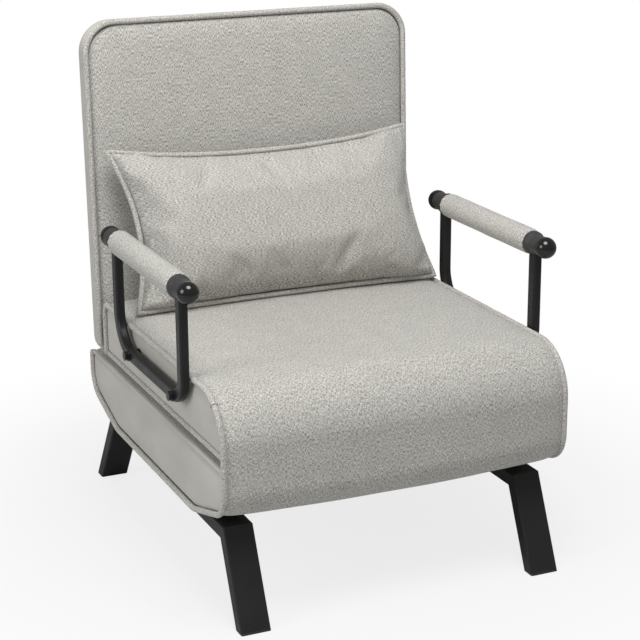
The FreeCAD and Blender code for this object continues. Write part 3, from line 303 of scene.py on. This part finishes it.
def outline_points(corners, step):
    """Points about step apart round a closed outline of corners (y, z, radius), and its length."""
    line = []
    for index, (y, z, radius) in enumerate(corners):
        corner = np.array((y, z))
        before = np.array(corners[index - 1][:2]) - corner
        after = np.array(corners[(index + 1) % len(corners)][:2]) - corner
        before = before / np.linalg.norm(before)
        after = after / np.linalg.norm(after)
        half = math.acos(np.clip(before @ after, -1, 1)) / 2
        centre = corner + (before + after) / np.linalg.norm(before + after) * radius / math.sin(half)
        first = corner + before * radius / math.tan(half) - centre
        last = corner + after * radius / math.tan(half) - centre
        turn = math.pi - 2 * half
        for share in np.linspace(0, 1, max(3, int(turn * radius / step * 3) + 1)):
            spoke = math.sin((1 - share) * turn) * first + math.sin(share * turn) * last
            line.append(centre + spoke / math.sin(turn))
    line = np.array(line + [line[0]])
    run = np.concatenate(([0], np.cumsum(np.linalg.norm(np.diff(line, axis=0), axis=1))))
    count = int(round(run[-1] / step))
    at = np.linspace(0, run[-1], count, endpoint=False)
    points = np.stack([np.interp(at, run, line[:, axis]) for axis in range(2)], axis=1)
    return points, run[-1]


def outward(points):
    """Unit vectors out of a closed outline whose points run anticlockwise."""
    along = np.roll(points, -1, axis=0) - np.roll(points, 1, axis=0)
    along = along / np.linalg.norm(along, axis=1)[:, None]
    return np.stack((along[:, 1], -along[:, 0]), axis=1)


def ripple(points, size, seed=0.0):
    """Smooth bumps from -1 to 1 at each point, size apart."""
    return np.array([noise.noise(Vector(point) / size + Vector((seed, seed, seed)))
                     for point in points])


def mesh_piece(name, points, faces, material, cloth=None):
    """A smooth-shaded piece. cloth is each point's place on the flat cloth, across and along."""
    mesh = bpy.data.meshes.new(name)
    mesh.from_pydata([tuple(point) for point in points], [], faces)
    mesh.polygons.foreach_set("use_smooth", [True] * len(mesh.polygons))
    mesh.materials.append(material)
    if cloth is not None:
        laid = mesh.attributes.new("cloth", "FLOAT_VECTOR", "POINT")
        laid.data.foreach_set("vector", np.ascontiguousarray(cloth, dtype=np.float32).ravel())
    mesh.validate()
    piece = bpy.data.objects.new(name, mesh)
    bpy.context.scene.collection.objects.link(piece)
    return piece


def grid_faces(rows, columns, closed=False):
    """Quads over rows of columns points. closed joins each row's last point to its first."""
    return [(row * columns + column, row * columns + (column + 1) % columns,
             (row + 1) * columns + (column + 1) % columns, (row + 1) * columns + column)
            for row in range(rows - 1) for column in range(columns - (not closed))]


SECTION_HALF = 0.274
FRONT = -0.322
FOLD_Y, FOLD_Z = -0.330, 0.2505
BASE_LOW, BASE_TOP = 0.142, 0.244
SEAT_LOW, SEAT_TOP = 0.257, 0.346
SEAT_REAR, BASE_REAR = 0.209, 0.292
CHINE = 0.17835
NOSE_RADIUS, CHINE_RADIUS = 0.075, 0.046
BRIDGE = 0.0018
COVER_HALF = SECTION_HALF - 0.003

BEND_FRONT, BEND_REAR, BEND_RADIUS = -0.1952, 0.1652, 0.09
TOP_CROWN, FRONT_CROWN, PLAIN_CROWN = 0.005, 0.0085, 0.002
CROWN_SHAPE = 2.6
EDGE_ROLL, ROLL_WIDTH = 0.004, 0.009
END_SINK, END_INSET = 0.009, 0.004
SLIT_MOUTH, MOUTH_FADE = 0.012, 0.009
FOLD_GAP = 0.001

whole_outline = [
    (SEAT_REAR, SEAT_LOW, 0.009), (SEAT_REAR, SEAT_TOP, 0.015), (FRONT, SEAT_TOP, NOSE_RADIUS),
    (FRONT, CHINE, CHINE_RADIUS), (BEND_FRONT, BASE_LOW, BEND_RADIUS),
    (BEND_REAR, BASE_LOW, BEND_RADIUS),
    (BASE_REAR, CHINE, CHINE_RADIUS), (BASE_REAR, BASE_TOP, 0.009),
    (FRONT + BRIDGE, BASE_TOP, 0.004), (FRONT + BRIDGE, SEAT_LOW, 0.004),
]
ring, ring_length = outline_points(whole_outline, 0.004)
ring_out = outward(ring)
seat_rear = np.clip(ring_out[:, 0], 0, 1) * (ring[:, 1] > SEAT_LOW)
in_slit = ((ring[:, 1] > BASE_TOP - 0.002) & (ring[:, 1] < SEAT_LOW + 0.002)
           & (ring[:, 0] > FRONT + 0.001))
edge_steps = np.array((0, 0.0012, 0.003, 0.0055, 0.009, 0.013, 0.018, 0.024, 0.031, 0.039, 0.048))
stations = np.concatenate((
    [-COVER_HALF], -COVER_HALF + edge_steps,
    np.linspace(-COVER_HALF + 0.056, COVER_HALF - 0.056, 52),
    (COVER_HALF - edge_steps)[::-1], [COVER_HALF]))
ring_run = np.arange(len(ring)) * ring_length / len(ring)
crown = (TOP_CROWN * np.clip(ring_out[:, 1], 0, 1) + FRONT_CROWN * np.clip(-ring_out[:, 0], 0, 1)
         + PLAIN_CROWN * np.clip(ring_out[:, 0], 0, 1)
         + PLAIN_CROWN * np.clip(-ring_out[:, 1], 0, 1))
crown[in_slit] = 0
crown = crown * (1 - seat_rear)
points, cloth = [], []
for x in stations:
    inset = COVER_HALF - abs(x)
    place = np.column_stack((np.full(len(ring), x), ring))
    rolled = EDGE_ROLL * (1 - math.exp(-inset / ROLL_WIDTH)) * (1 - 0.75 * seat_rear)
    swell = crown * (1 - (abs(x) / COVER_HALF) ** CROWN_SHAPE)
    pucker = 0.0005 * ripple(place, 0.014) * math.exp(-inset / 0.014) * min(1, inset / 0.003)
    soft = 0.0011 * ripple(place, 0.11, 5.0) * (1 - math.exp(-inset / 0.04))
    lift = np.where(in_slit, swell * 0, rolled + swell + pucker + soft)
    # Behind the bridge over the fold, the slit's front end keeps its distance from the cloth.
    near_fold = in_slit & (ring[:, 0] < FRONT + SLIT_MOUTH)
    shifted = ring + ring_out * lift[:, None]
    front_lift = (EDGE_ROLL * (1 - math.exp(-inset / ROLL_WIDTH))
                  + FRONT_CROWN * (1 - (abs(x) / COVER_HALF) ** CROWN_SHAPE))
    nearness = np.clip((FRONT + SLIT_MOUTH - ring[near_fold, 0]) / MOUTH_FADE, 0, 1)
    shifted[near_fold, 0] -= front_lift * nearness
    points.append(np.column_stack((np.full(len(ring), x), shifted)))
    cloth.append(np.column_stack((np.full(len(ring), x), ring_run, np.zeros(len(ring)))))
for end, side in ((0, -1), (-1, 1)):
    points[end] = points[end] - np.column_stack((np.full(len(ring), side * END_SINK),
                                                 ring_out * END_INSET))
points = np.concatenate(points)
cloth = np.concatenate(cloth)
at_fold = (np.abs(points[:, 2] - FOLD_Z) < FOLD_GAP) & (points[:, 1] < FRONT + SLIT_MOUTH)
points[at_fold, 2] = FOLD_Z + np.where(points[at_fold, 2] < FOLD_Z, -FOLD_GAP, FOLD_GAP)
around = len(ring)
faces = grid_faces(len(stations), around, closed=True)
faces.append(tuple(reversed(range(around))))
faces.append(tuple(range(len(points) - around, len(points))))
WOVEN_DARK = (0.200, 0.192, 0.172)
WOVEN_LIGHT = (0.650, 0.634, 0.592)
THREAD = 0.00062
upholstery = woven("upholstery_cloth", WOVEN_DARK, WOVEN_LIGHT, THREAD)
cover = mesh_piece("section_cover", points, faces, upholstery, cloth)
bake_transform(cover)
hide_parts("base_cover", "base_foam", "seat_cover", "seat_foam")


# Side panels. Smooth, tighter cloth over board on each side of both foam blocks, drawn
# slightly full. A flat welt of the woven cloth closes the seat panel's lower edge, and a
# roll of the smooth cloth finishes the top edge of the base.
def smooth_cloth(name, colour):
    """Close-woven cloth with hardly any fleck: a fine grain, and faint streaks of painted shade and
    light where creases would be.
    """
    material, tree, surface = finish_of(name, colour, 0.85)
    place = node(tree, "ShaderNodeTexCoord").outputs["Object"]
    fine = node(tree, "ShaderNodeTexNoise", {"Vector": place, "Scale": 1500.0, "Detail": 2.0})
    drawn = node(tree, "ShaderNodeMapping", {"Vector": place, "Scale": (1.0, 0.35, 1.0)})
    # Stretched noise for creases: it paints their shade and light into the colour, lighter and darker,
    # along with the fine grain.
    crease_shading = node(tree, "ShaderNodeTexNoise", {"Vector": drawn.outputs[0], "Scale": 26.0,
                                              "Detail": 2.0})
    both = node(tree, "ShaderNodeMath", {0: fine.outputs[0], 1: 0.35, 2: crease_shading.outputs[0]},
                operation="MULTIPLY_ADD")
    share = node(tree, "ShaderNodeMapRange", {"Value": both.outputs[0], "From Min": 0.45,
                                              "From Max": 0.9})
    tone = node(tree, "ShaderNodeMix", {"Factor": share.outputs[0],
                                        "A": (*[part * 0.92 for part in colour], 1),
                                        "B": (*[part * 1.07 for part in colour], 1)},
                data_type="RGBA")
    tree.links.new(tone.outputs["Result"], surface.inputs["Base Color"])
    bumped(tree, surface, fine.outputs[0], 0.00012)
    surface.inputs["Sheen Weight"].default_value = 0.1
    surface.inputs["Sheen Roughness"].default_value = 0.5
    return material


def side_panel(name, corners, side, body, fullness):
    """A panel inside an outline of corners (y, z, radius), sunk at its edge and full inside."""
    edge, _ = outline_points(corners, 0.001)
    low_y, high_y = edge[:, 0].min(), edge[:, 0].max()
    spread = (1 - np.cos(np.linspace(0, math.pi, 24))) / 2
    near = np.concatenate(([0.0002], spread[1:12] * 0.09))
    columns = np.concatenate((low_y + near, np.linspace(low_y + 0.052, high_y - 0.052, 46),
                              (high_y - near)[::-1]))
    heights = [edge[np.abs(edge[:, 0] - y) < 0.0011, 1] for y in columns]
    grid = np.array([[(y, at.min() + (at.max() - at.min()) * share) for share in spread]
                     for y, at in zip(columns, heights)]).reshape(-1, 2)
    away = np.sqrt(((grid[:, None, :] - edge[None, ::2, :]) ** 2).sum(axis=2)).min(axis=1)
    place = np.column_stack((np.full(len(grid), side * 0.27), grid))
    out = (PANEL_SEAM + PANEL_RISE * (1 - np.exp(-away / 0.0035))
           + fullness * (1 - np.exp(-away / 0.022))
           + 0.0005 * ripple(place, 0.05, 3.0) * (1 - np.exp(-away / 0.01))
           + 0.0003 * ripple(place, 0.012, 8.0) * np.exp(-away / 0.012) * (1 - np.exp(-away / 0.002)))
    place[:, 0] = side * out
    faces = grid_faces(len(columns), len(spread))
    if side > 0:
        faces = [face[::-1] for face in faces]
    panel = mesh_piece(name, place, faces, side_cloth)
    board = panel.modifiers.new("board", "SOLIDIFY")
    board.thickness = PANEL_THICK
    board.offset = -1
    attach(panel, body)


def tube(name, path, radii, material, around=14, closed=False, wave=0.0, bias=True):
    """A sewn cord or roll along path. radii are its half sizes, level and upright."""
    path = np.array(path)
    if closed:
        along = np.roll(path, -1, axis=0) - np.roll(path, 1, axis=0)
    else:
        along = np.gradient(path, axis=0)
    along = along / np.linalg.norm(along, axis=1)[:, None]
    run = np.concatenate(([0], np.cumsum(np.linalg.norm(np.diff(path, axis=0), axis=1))))
    first = np.array((1.0, 0, 0)) if abs(along[0, 0]) < 0.9 else np.array((0, 1.0, 0))
    sides = []
    held = first - along[0] * (first @ along[0])
    for step in along:
        held = held - step * (held @ step)
        held = held / np.linalg.norm(held)
        sides.append(held)
    sides = np.array(sides)
    ups = np.cross(along, sides)
    turn = np.linspace(0, 2 * math.pi, around, endpoint=False)
    swell = 1 + wave * ripple(path, 0.009, 2.0)
    points, cloth = [], []
    for at, side, up, here, full in zip(path, sides, ups, run, swell):
        points.append(at + full * (np.outer(np.cos(turn), side) * radii[0]
                                   + np.outer(np.sin(turn), up) * radii[1]))
        cloth.append(np.column_stack((turn * radii[0], np.full(around, here), np.zeros(around))))
    points, cloth = np.concatenate(points), np.concatenate(cloth)
    if bias:
        cloth = np.column_stack((cloth[:, 0] + cloth[:, 1], cloth[:, 0] - cloth[:, 1],
                                 cloth[:, 2])) * 0.7071
    faces = grid_faces(len(path), around, closed=True)
    last = (len(path) - 1) * around
    if closed:
        faces += [(last + k, last + (k + 1) % around, (k + 1) % around, k) for k in range(around)]
    else:
        faces.append(tuple(reversed(range(around))))
        faces.append(tuple(last + k for k in range(around)))
    return mesh_piece(name, points, faces, material, cloth)


side_cloth = smooth_cloth("side_cloth", (0.475, 0.458, 0.424))
WELT_TOP, ROLL_LOW = 0.2658, 0.2362
CORD = 0.0045
SEAM = 0.0050
PANEL_SEAM, PANEL_RISE, PANEL_THICK = 0.2705, 0.0034, 0.0016
for side_name, side in SIDES:
    side_panel("seat_side_" + side_name, [
        (SEAT_REAR - SEAM, WELT_TOP, 0.003), (SEAT_REAR - SEAM, SEAT_TOP - SEAM, 0.010),
        (FRONT + SEAM, SEAT_TOP - SEAM, NOSE_RADIUS - SEAM), (FRONT + SEAM, WELT_TOP, 0.003),
    ], side, "seat", 0.0022)
    side_panel("base_side_" + side_name, [
        (BASE_REAR - SEAM, ROLL_LOW, 0.004), (FRONT + SEAM, ROLL_LOW, 0.003),
        (FRONT + SEAM, CHINE + SEAM * 0.8, 0.030), (BEND_FRONT, BASE_LOW + SEAM, BEND_RADIUS),
        (BEND_REAR, BASE_LOW + SEAM, BEND_RADIUS), (BASE_REAR - SEAM, CHINE + SEAM * 0.8, 0.040),
    ], side, "base", 0.0030)
    lengths = np.linspace(0, 1, 90)
    welt = tube("seat_welt_" + side_name,
                [(side * 0.2716, FRONT + 0.003 + (SEAT_REAR - FRONT - 0.006) * share,
                  (SEAT_LOW + WELT_TOP) / 2) for share in lengths],
                (0.0032, (WELT_TOP - SEAT_LOW) / 2), upholstery, wave=0.03, bias=False)
    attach(welt, "seat")
    roll = tube("base_roll_" + side_name,
                [(side * 0.2712, FRONT + 0.003 + (BASE_REAR - FRONT - 0.006) * share,
                  (ROLL_LOW + BASE_TOP) / 2) for share in lengths],
                (0.0040, (BASE_TOP - ROLL_LOW) / 2), side_cloth, wave=0.03)
    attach(roll, "base")


# Edge cords. Piping of the woven cloth, cut on the bias round a filler cord and sewn into
# both side seams. It runs down the front of seat and base alike, parted at the fold.
seat_run = ring[(ring_run < 1.2) & (ring[:, 1] > FOLD_Z)]
seat_run = seat_run[2:]
base_run = ring[(ring[:, 1] < FOLD_Z) & ~in_slit & (ring_out[:, 1] < 0.9)]
seat_run = np.vstack((seat_run, (FRONT, FOLD_Z)))
base_run = np.vstack(((FRONT, FOLD_Z), base_run))
for side_name, side in SIDES:
    seat_cord = tube("seat_cord_" + side_name, [(side * SECTION_HALF, y, z) for y, z in seat_run],
                     (CORD, CORD), upholstery, wave=0.03)
    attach(seat_cord, "seat")
    base_cord = tube("base_cord_" + side_name, [(side * SECTION_HALF, y, z) for y, z in base_run],
                     (CORD, CORD), upholstery, wave=0.03)
    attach(base_cord, "base")
    if side < 0:
        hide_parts("seat_piping")
        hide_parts("base_piping")
        # The cord's two lengths meet in a folded end, bound round with one turn of the cloth.
        at = int(np.argmin(np.hypot(seat_run[:, 0] + 0.2878, seat_run[:, 1] - 0.3339)))
        way = seat_run[at + 1] - seat_run[at - 1]
        way = np.array((0, *(way / np.linalg.norm(way))))
        up = np.cross(way, (1.0, 0, 0))
        turn = np.linspace(0, 2 * math.pi, 32, endpoint=False)
        bound = (np.array((side * SECTION_HALF, *seat_run[at]))
                 + (CORD + 0.0004) * (np.outer(np.cos(turn), (1.0, 0, 0)) + np.outer(np.sin(turn), up)))
        joint = tube("seat_cord_joint", bound, (0.0012, 0.0012), upholstery, around=8, closed=True)
        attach(joint, "seat")


# Armrests. Each is a hoop of flat steel bar bent to a U and bolted through the seat's side
# into its frame, with a padded bar across the top in a sewn sleeve of the woven cloth.
# Collars and balls of black plastic close the bar at both ends.
ARM_X, ARM_Y, ARM_Z = 0.287, -0.0565, 0.4815
SLEEVE_HALF, SLEEVE_RADIUS = 0.1357, 0.0195
SLEEVE_AROUND = 56
END_DROP, SEAM_DROP = 0.0035, 0.0009
COLLAR_END = 0.1676
dress(["arm_hoop_left", "arm_hoop_right"], powder_coat("arm_paint", (0.009, 0.009, 0.009), 0.36))

cap_plastic, tree, surface = finish_of("cap_plastic", (0.012, 0.012, 0.012), 0.4)
place = node(tree, "ShaderNodeTexCoord").outputs["Object"]
split = node(tree, "ShaderNodeSeparateXYZ", {0: place})
from_middle = node(tree, "ShaderNodeMath", {0: split.outputs["Y"], 1: ARM_Y}, operation="SUBTRACT")
distance = node(tree, "ShaderNodeMath", {0: from_middle.outputs[0]}, operation="ABSOLUTE")
on_ball = node(tree, "ShaderNodeMapRange", {"Value": distance.outputs[0],
                                            "From Min": COLLAR_END - 0.001,
                                            "From Max": COLLAR_END + 0.0005})
smears = node(tree, "ShaderNodeTexNoise", {"Vector": place, "Scale": 90.0, "Detail": 3.0})
gloss = node(tree, "ShaderNodeMapRange", {"Value": on_ball.outputs[0], "To Min": 0.42,
                                          "To Max": 0.1})
smeared = node(tree, "ShaderNodeMath", {0: smears.outputs[0], 1: 0.08, 2: gloss.outputs[0]},
               operation="MULTIPLY_ADD")
tree.links.new(smeared.outputs[0], surface.inputs["Roughness"])
tone = node(tree, "ShaderNodeMix", {"Factor": on_ball.outputs[0], "A": (0.032, 0.032, 0.032, 1),
                                    "B": (0.006, 0.006, 0.006, 1)}, data_type="RGBA")
tree.links.new(tone.outputs["Result"], surface.inputs["Base Color"])
dress(["arm_cap_%s_%s" % (end, side) for end in ("front", "rear") for side, _ in SIDES],
      cap_plastic)

for side_name, side in SIDES:
    points, cloth = [], []
    turn = np.linspace(0, 2 * math.pi, SLEEVE_AROUND, endpoint=False)
    inset = np.concatenate((np.array((0, 0.0005, 0.0015, 0.003, 0.005, 0.008)),
                            np.linspace(0.012, SLEEVE_HALF, 34)))
    for run in np.concatenate((inset, (2 * SLEEVE_HALF - inset)[::-1][1:])):
        end = min(run, 2 * SLEEVE_HALF - run)
        along = np.full(SLEEVE_AROUND, run)
        ring_place = np.column_stack((np.cos(turn) * 0.02, along, np.sin(turn) * 0.02))
        radius = (SLEEVE_RADIUS - END_DROP * math.exp(-end / 0.0022)
                  + 0.0004 * ripple(ring_place, 0.03, side * 4.0) * (1 - math.exp(-end / 0.01))
                  + 0.00045 * np.sin(turn * 13 + 2 * ripple(ring_place, 0.02)) * math.exp(-end / 0.012)
                  - SEAM_DROP * np.exp(-((turn - 1.5 * math.pi) * SLEEVE_RADIUS / 0.0016) ** 2))
        points.append(np.column_stack((side * ARM_X + radius * np.cos(turn),
                                       np.full(SLEEVE_AROUND, ARM_Y - SLEEVE_HALF + run),
                                       ARM_Z + radius * np.sin(turn))))
        cloth.append(np.column_stack((turn * SLEEVE_RADIUS, along, np.zeros(SLEEVE_AROUND))))
    last = (len(points) - 1) * SLEEVE_AROUND
    faces = grid_faces(len(points), SLEEVE_AROUND, closed=True)
    faces.append(tuple(reversed(range(SLEEVE_AROUND))))
    faces.append(tuple(last + k for k in range(SLEEVE_AROUND)))
    faces = [face[::-1] for face in faces]
    sleeve = mesh_piece("arm_sleeve_" + side_name + "_cloth", np.concatenate(points), faces,
                        upholstery, np.concatenate(cloth))
    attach(sleeve, "seat")
    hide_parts("arm_sleeve_" + side_name, "arm_foam_" + side_name)


# Backrest. A foam-covered steel frame in a boxed cover: smooth cloth round the sides and
# rear, and a woven panel in front, with a cord sewn into the seam between them.
PIVOT_Y, PIVOT_Z = 0.266, 0.2505
BACK_LEAN = math.radians(2)
BACK_HALF, BACK_FOOT, BACK_HEIGHT = 0.279, 0.0065, 0.5438
BACK_REAR, BACK_FRONT = 0.006, 0.043
back_middle = np.array((0.0, (BACK_FOOT + BACK_HEIGHT) / 2))
back_reach = np.array((BACK_HALF, (BACK_HEIGHT - BACK_FOOT) / 2))
BACK_CORNERS = [(-BACK_HALF, BACK_FOOT, 0.020), (BACK_HALF, BACK_FOOT, 0.020),
                (BACK_HALF, BACK_HEIGHT, 0.050), (-BACK_HALF, BACK_HEIGHT, 0.050)]
back_edge, _ = outline_points(BACK_CORNERS, 0.006)


def on_back(place, depth):
    """Places (across, up) on the backrest, each at its depth, as points of the chair's frame."""
    return np.column_stack((
        place[:, 0],
        PIVOT_Y + place[:, 1] * math.sin(BACK_LEAN) - depth * math.cos(BACK_LEAN),
        PIVOT_Z + place[:, 1] * math.cos(BACK_LEAN) + depth * math.sin(BACK_LEAN)))


def back_rings(name, rings, material, outward_first):
    """A skin of rings (inset, depth) of the backrest's outline, closed in the middle."""
    points, cloth = [], []
    for inset, depth in rings:
        place = back_middle + (back_edge - back_middle) * (1 - inset / back_reach)
        flat = np.column_stack((place, np.zeros(len(place))))
        lively = 1 - math.exp(-max(inset, 0) / 0.02)
        depth = (depth + 0.0009 * ripple(flat, 0.13, 7.0) * lively * outward_first
                 + 0.0004 * ripple(flat, 0.013, 9.0) * math.exp(-abs(inset - 0.012) / 0.009))
        points.append(on_back(place, depth))
        cloth.append(flat)
    count = len(back_edge)
    faces = grid_faces(len(rings), count, closed=True)
    faces.append(tuple((len(rings) - 1) * count + k for k in range(count)))
    if outward_first < 0:
        faces = [face[::-1] for face in faces]
    return mesh_piece(name, np.concatenate(points), faces, material, np.concatenate(cloth))


def panel_depth(inset):
    """How far forward the woven panel stands, inset from the backrest's edge."""
    return (BACK_FRONT - 0.002 + 0.0055 * (1 - math.exp(-(inset - 0.005) / 0.007))
            + 0.0072 * (1 - math.exp(-(inset - 0.005) / 0.05)))


back_cloth = woven("back_cloth", WOVEN_DARK, WOVEN_LIGHT, THREAD, upright=1.5)
steps = [0.005, 0.006, 0.0075, 0.0095, 0.012, 0.015, 0.019, 0.024, 0.030, 0.037, 0.045]
steps += list(np.linspace(0.054, 0.262, 26))
back_panel = back_rings("back_panel", [(0.0075, BACK_FRONT - 0.009)]
                        + [(step, panel_depth(step)) for step in steps], back_cloth, 1)
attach(back_panel, "backrest")

SIDE_TOP = BACK_FRONT - 0.004
boxing = [(0.010, BACK_FRONT - 0.009), (0.0035, BACK_FRONT - 0.006), (0.0012, SIDE_TOP)]
boxing += [(-0.0022 * math.sin(math.pi * share), SIDE_TOP - (SIDE_TOP - BACK_REAR) * share)
           for share in (0.1, 0.25, 0.4, 0.55, 0.7, 0.85, 1.0)]
boxing += [(0.0008, BACK_REAR - 0.001), (0.003, BACK_REAR - 0.0035), (0.0065, BACK_REAR - 0.0055)]
boxing += [(inset, -0.004 + 0.0045 * math.exp(-(inset - 0.0065) / 0.03))
           for inset in list(np.linspace(0.012, 0.06, 7)) + list(np.linspace(0.075, 0.262, 16))]
back_shell = back_rings("back_shell", boxing, side_cloth, -1)
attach(back_shell, "backrest")
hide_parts("back_cover", "back_foam")

cord_line, _ = outline_points(BACK_CORNERS, 0.0045)
back_cord = tube("back_cord", on_back(cord_line, np.full(len(cord_line), BACK_FRONT)),
                 (CORD, CORD), upholstery, closed=True, wave=0.03)
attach(back_cord, "backrest")
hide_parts("back_piping")


# Pillow. Two layers of the woven cloth sewn round the edge with a cord between them and
# filled with fibre. The seam's drawn-in line is set here and held, and the cloth inside it
# is blown up by simulation.
PILLOW_PLACE = Vector((0, 0.149, 0.4773))
PILLOW_LEAN = math.radians(24)
PILLOW_HALF, PILLOW_TALL, PILLOW_THICK = 0.262, 0.131, 0.118
PILLOW_STEP = 0.0075
PILLOW_CORD = 0.0042
DRAWN_RIGHT, DRAWN_LEFT = 0.027, 0.019
DRAWN_TOP, DRAWN_FOOT = 0.021, 0.003
FRONT_SHARE, REAR_SHARE = 0.53, 0.39
ROUNDNESS = 0.38
TOUCH = 0.0007


def inflate(piece, pressure, frames, held, growth, most):
    """Blow a cloth piece up by simulation and keep its shape. held are the points that stay,
    growth is how much the cloth's own size grows, and most is how far a point may move."""
    before = np.array([vertex.co for vertex in piece.data.vertices])
    piece.vertex_groups.new(name="held").add([int(index) for index in held], 1.0, "REPLACE")
    cloth = piece.modifiers.new("filling", "CLOTH")
    cloth.settings.quality = 6
    cloth.settings.mass = 0.15
    cloth.settings.tension_stiffness = 30
    cloth.settings.compression_stiffness = 30
    cloth.settings.shear_stiffness = 10
    cloth.settings.bending_stiffness = 1.0
    cloth.settings.vertex_group_mass = "held"
    cloth.settings.shrink_min = -growth
    cloth.settings.use_pressure = True
    cloth.settings.uniform_pressure_force = pressure
    cloth.settings.effector_weights.gravity = 0
    cloth.point_cache.frame_start = 1
    cloth.point_cache.frame_end = frames
    scene = bpy.context.scene
    for frame_number in range(1, frames + 1):
        scene.frame_set(frame_number)
    solved = piece.evaluated_get(bpy.context.evaluated_depsgraph_get()).to_mesh()
    after = np.empty(len(solved.vertices) * 3)
    solved.vertices.foreach_get("co", after)
    piece.modifiers.remove(cloth)
    scene.frame_set(1)
    move = after.reshape(-1, 3) - before
    far = np.linalg.norm(move, axis=1)[:, None]
    place = before + move * np.minimum(1, most / np.maximum(far, 1e-9))
    piece.data.vertices.foreach_set("co", place.ravel())
    piece.data.update()
    return place


def settle(place, others):
    """Push points out of the pieces that they rest on, so that they lie on them."""
    for other in others:
        solid = bmesh.new()
        solid.from_mesh(other.data)
        tree = BVHTree.FromBMesh(solid)
        solid.free()
        for index, point in enumerate(place):
            near, normal, _, distance = tree.find_nearest(Vector(point), 0.05)
            if near is not None:
                above = (Vector(point) - near) @ normal
                if above < TOUCH:
                    place[index] = point + np.array(normal) * (TOUCH - above)
    return place


wide = int(2 * PILLOW_HALF / PILLOW_STEP)
tall = int(2 * PILLOW_TALL / PILLOW_STEP)
points, cloth, number = [], [], {}
for layer in (1, -1):
    for row in range(tall + 1):
        for column in range(wide + 1):
            on_seam = row in (0, tall) or column in (0, wide)
            if on_seam and layer < 0:
                number[layer, row, column] = number[1, row, column]
                continue
            u = -1 + 2 * column / wide
            v = -1 + 2 * row / tall
            # The filling draws the sides in between the corners, and the top more than the bottom.
            drawn = DRAWN_RIGHT if u < 0 else DRAWN_LEFT
            x = u * (PILLOW_HALF - drawn * (1 - v * v)) + 0.004 * (1 - v)
            drawn = DRAWN_TOP if v > 0 else DRAWN_FOOT
            z = v * (PILLOW_TALL - drawn * (1 - abs(u) ** 2.4))
            fullness = FRONT_SHARE if layer > 0 else -REAR_SHARE
            rise = fullness * PILLOW_THICK * ((1 - u ** 6) * (1 - v ** 4)) ** ROUNDNESS
            number[layer, row, column] = len(points)
            points.append((x, -rise, z))
            cloth.append((u * PILLOW_HALF, v * PILLOW_TALL, 0))
faces = []
for layer in (1, -1):
    for row in range(tall):
        for column in range(wide):
            face = (number[layer, row, column], number[layer, row, column + 1],
                    number[layer, row + 1, column + 1], number[layer, row + 1, column])
            faces.append(face if layer > 0 else face[::-1])
seam = ([number[1, 0, column] for column in range(wide)]
        + [number[1, row, wide] for row in range(tall)]
        + [number[1, tall, column] for column in range(wide, 0, -1)]
        + [number[1, row, 0] for row in range(tall, 0, -1)])
pillow_cloth = woven("pillow_cloth", WOVEN_DARK, WOVEN_LIGHT, THREAD, upright=0.5)
pillow = mesh_piece("lumbar_pillow", points, faces, pillow_cloth, np.array(cloth))
shape = inflate(pillow, pressure=3.5, frames=24, held=seam, growth=0.03, most=0.020)
thickness = np.ptp(shape[:, 1])
shape[:, 1] = shape[:, 1] * PILLOW_THICK / thickness
tilt = np.array(Matrix.Translation(PILLOW_PLACE) @ Matrix.Rotation(-PILLOW_LEAN, 4, "X"))
shape = shape @ tilt[:3, :3].T + tilt[:3, 3]
shape = settle(shape, (cover, back_panel))
pillow.data.vertices.foreach_set("co", shape.ravel())
pillow.data.update()
rounder = pillow.modifiers.new("rounder", "SUBSURF")
rounder.levels = 1
rounder.render_levels = 1
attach(pillow, "pillow")
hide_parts("pillow_cover", "pillow_filling")
pillow_cord = tube("pillow_cord", shape[seam], (PILLOW_CORD, PILLOW_CORD), upholstery,
                   closed=True, wave=0.03)
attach(pillow_cord, "pillow")
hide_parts("pillow_piping")
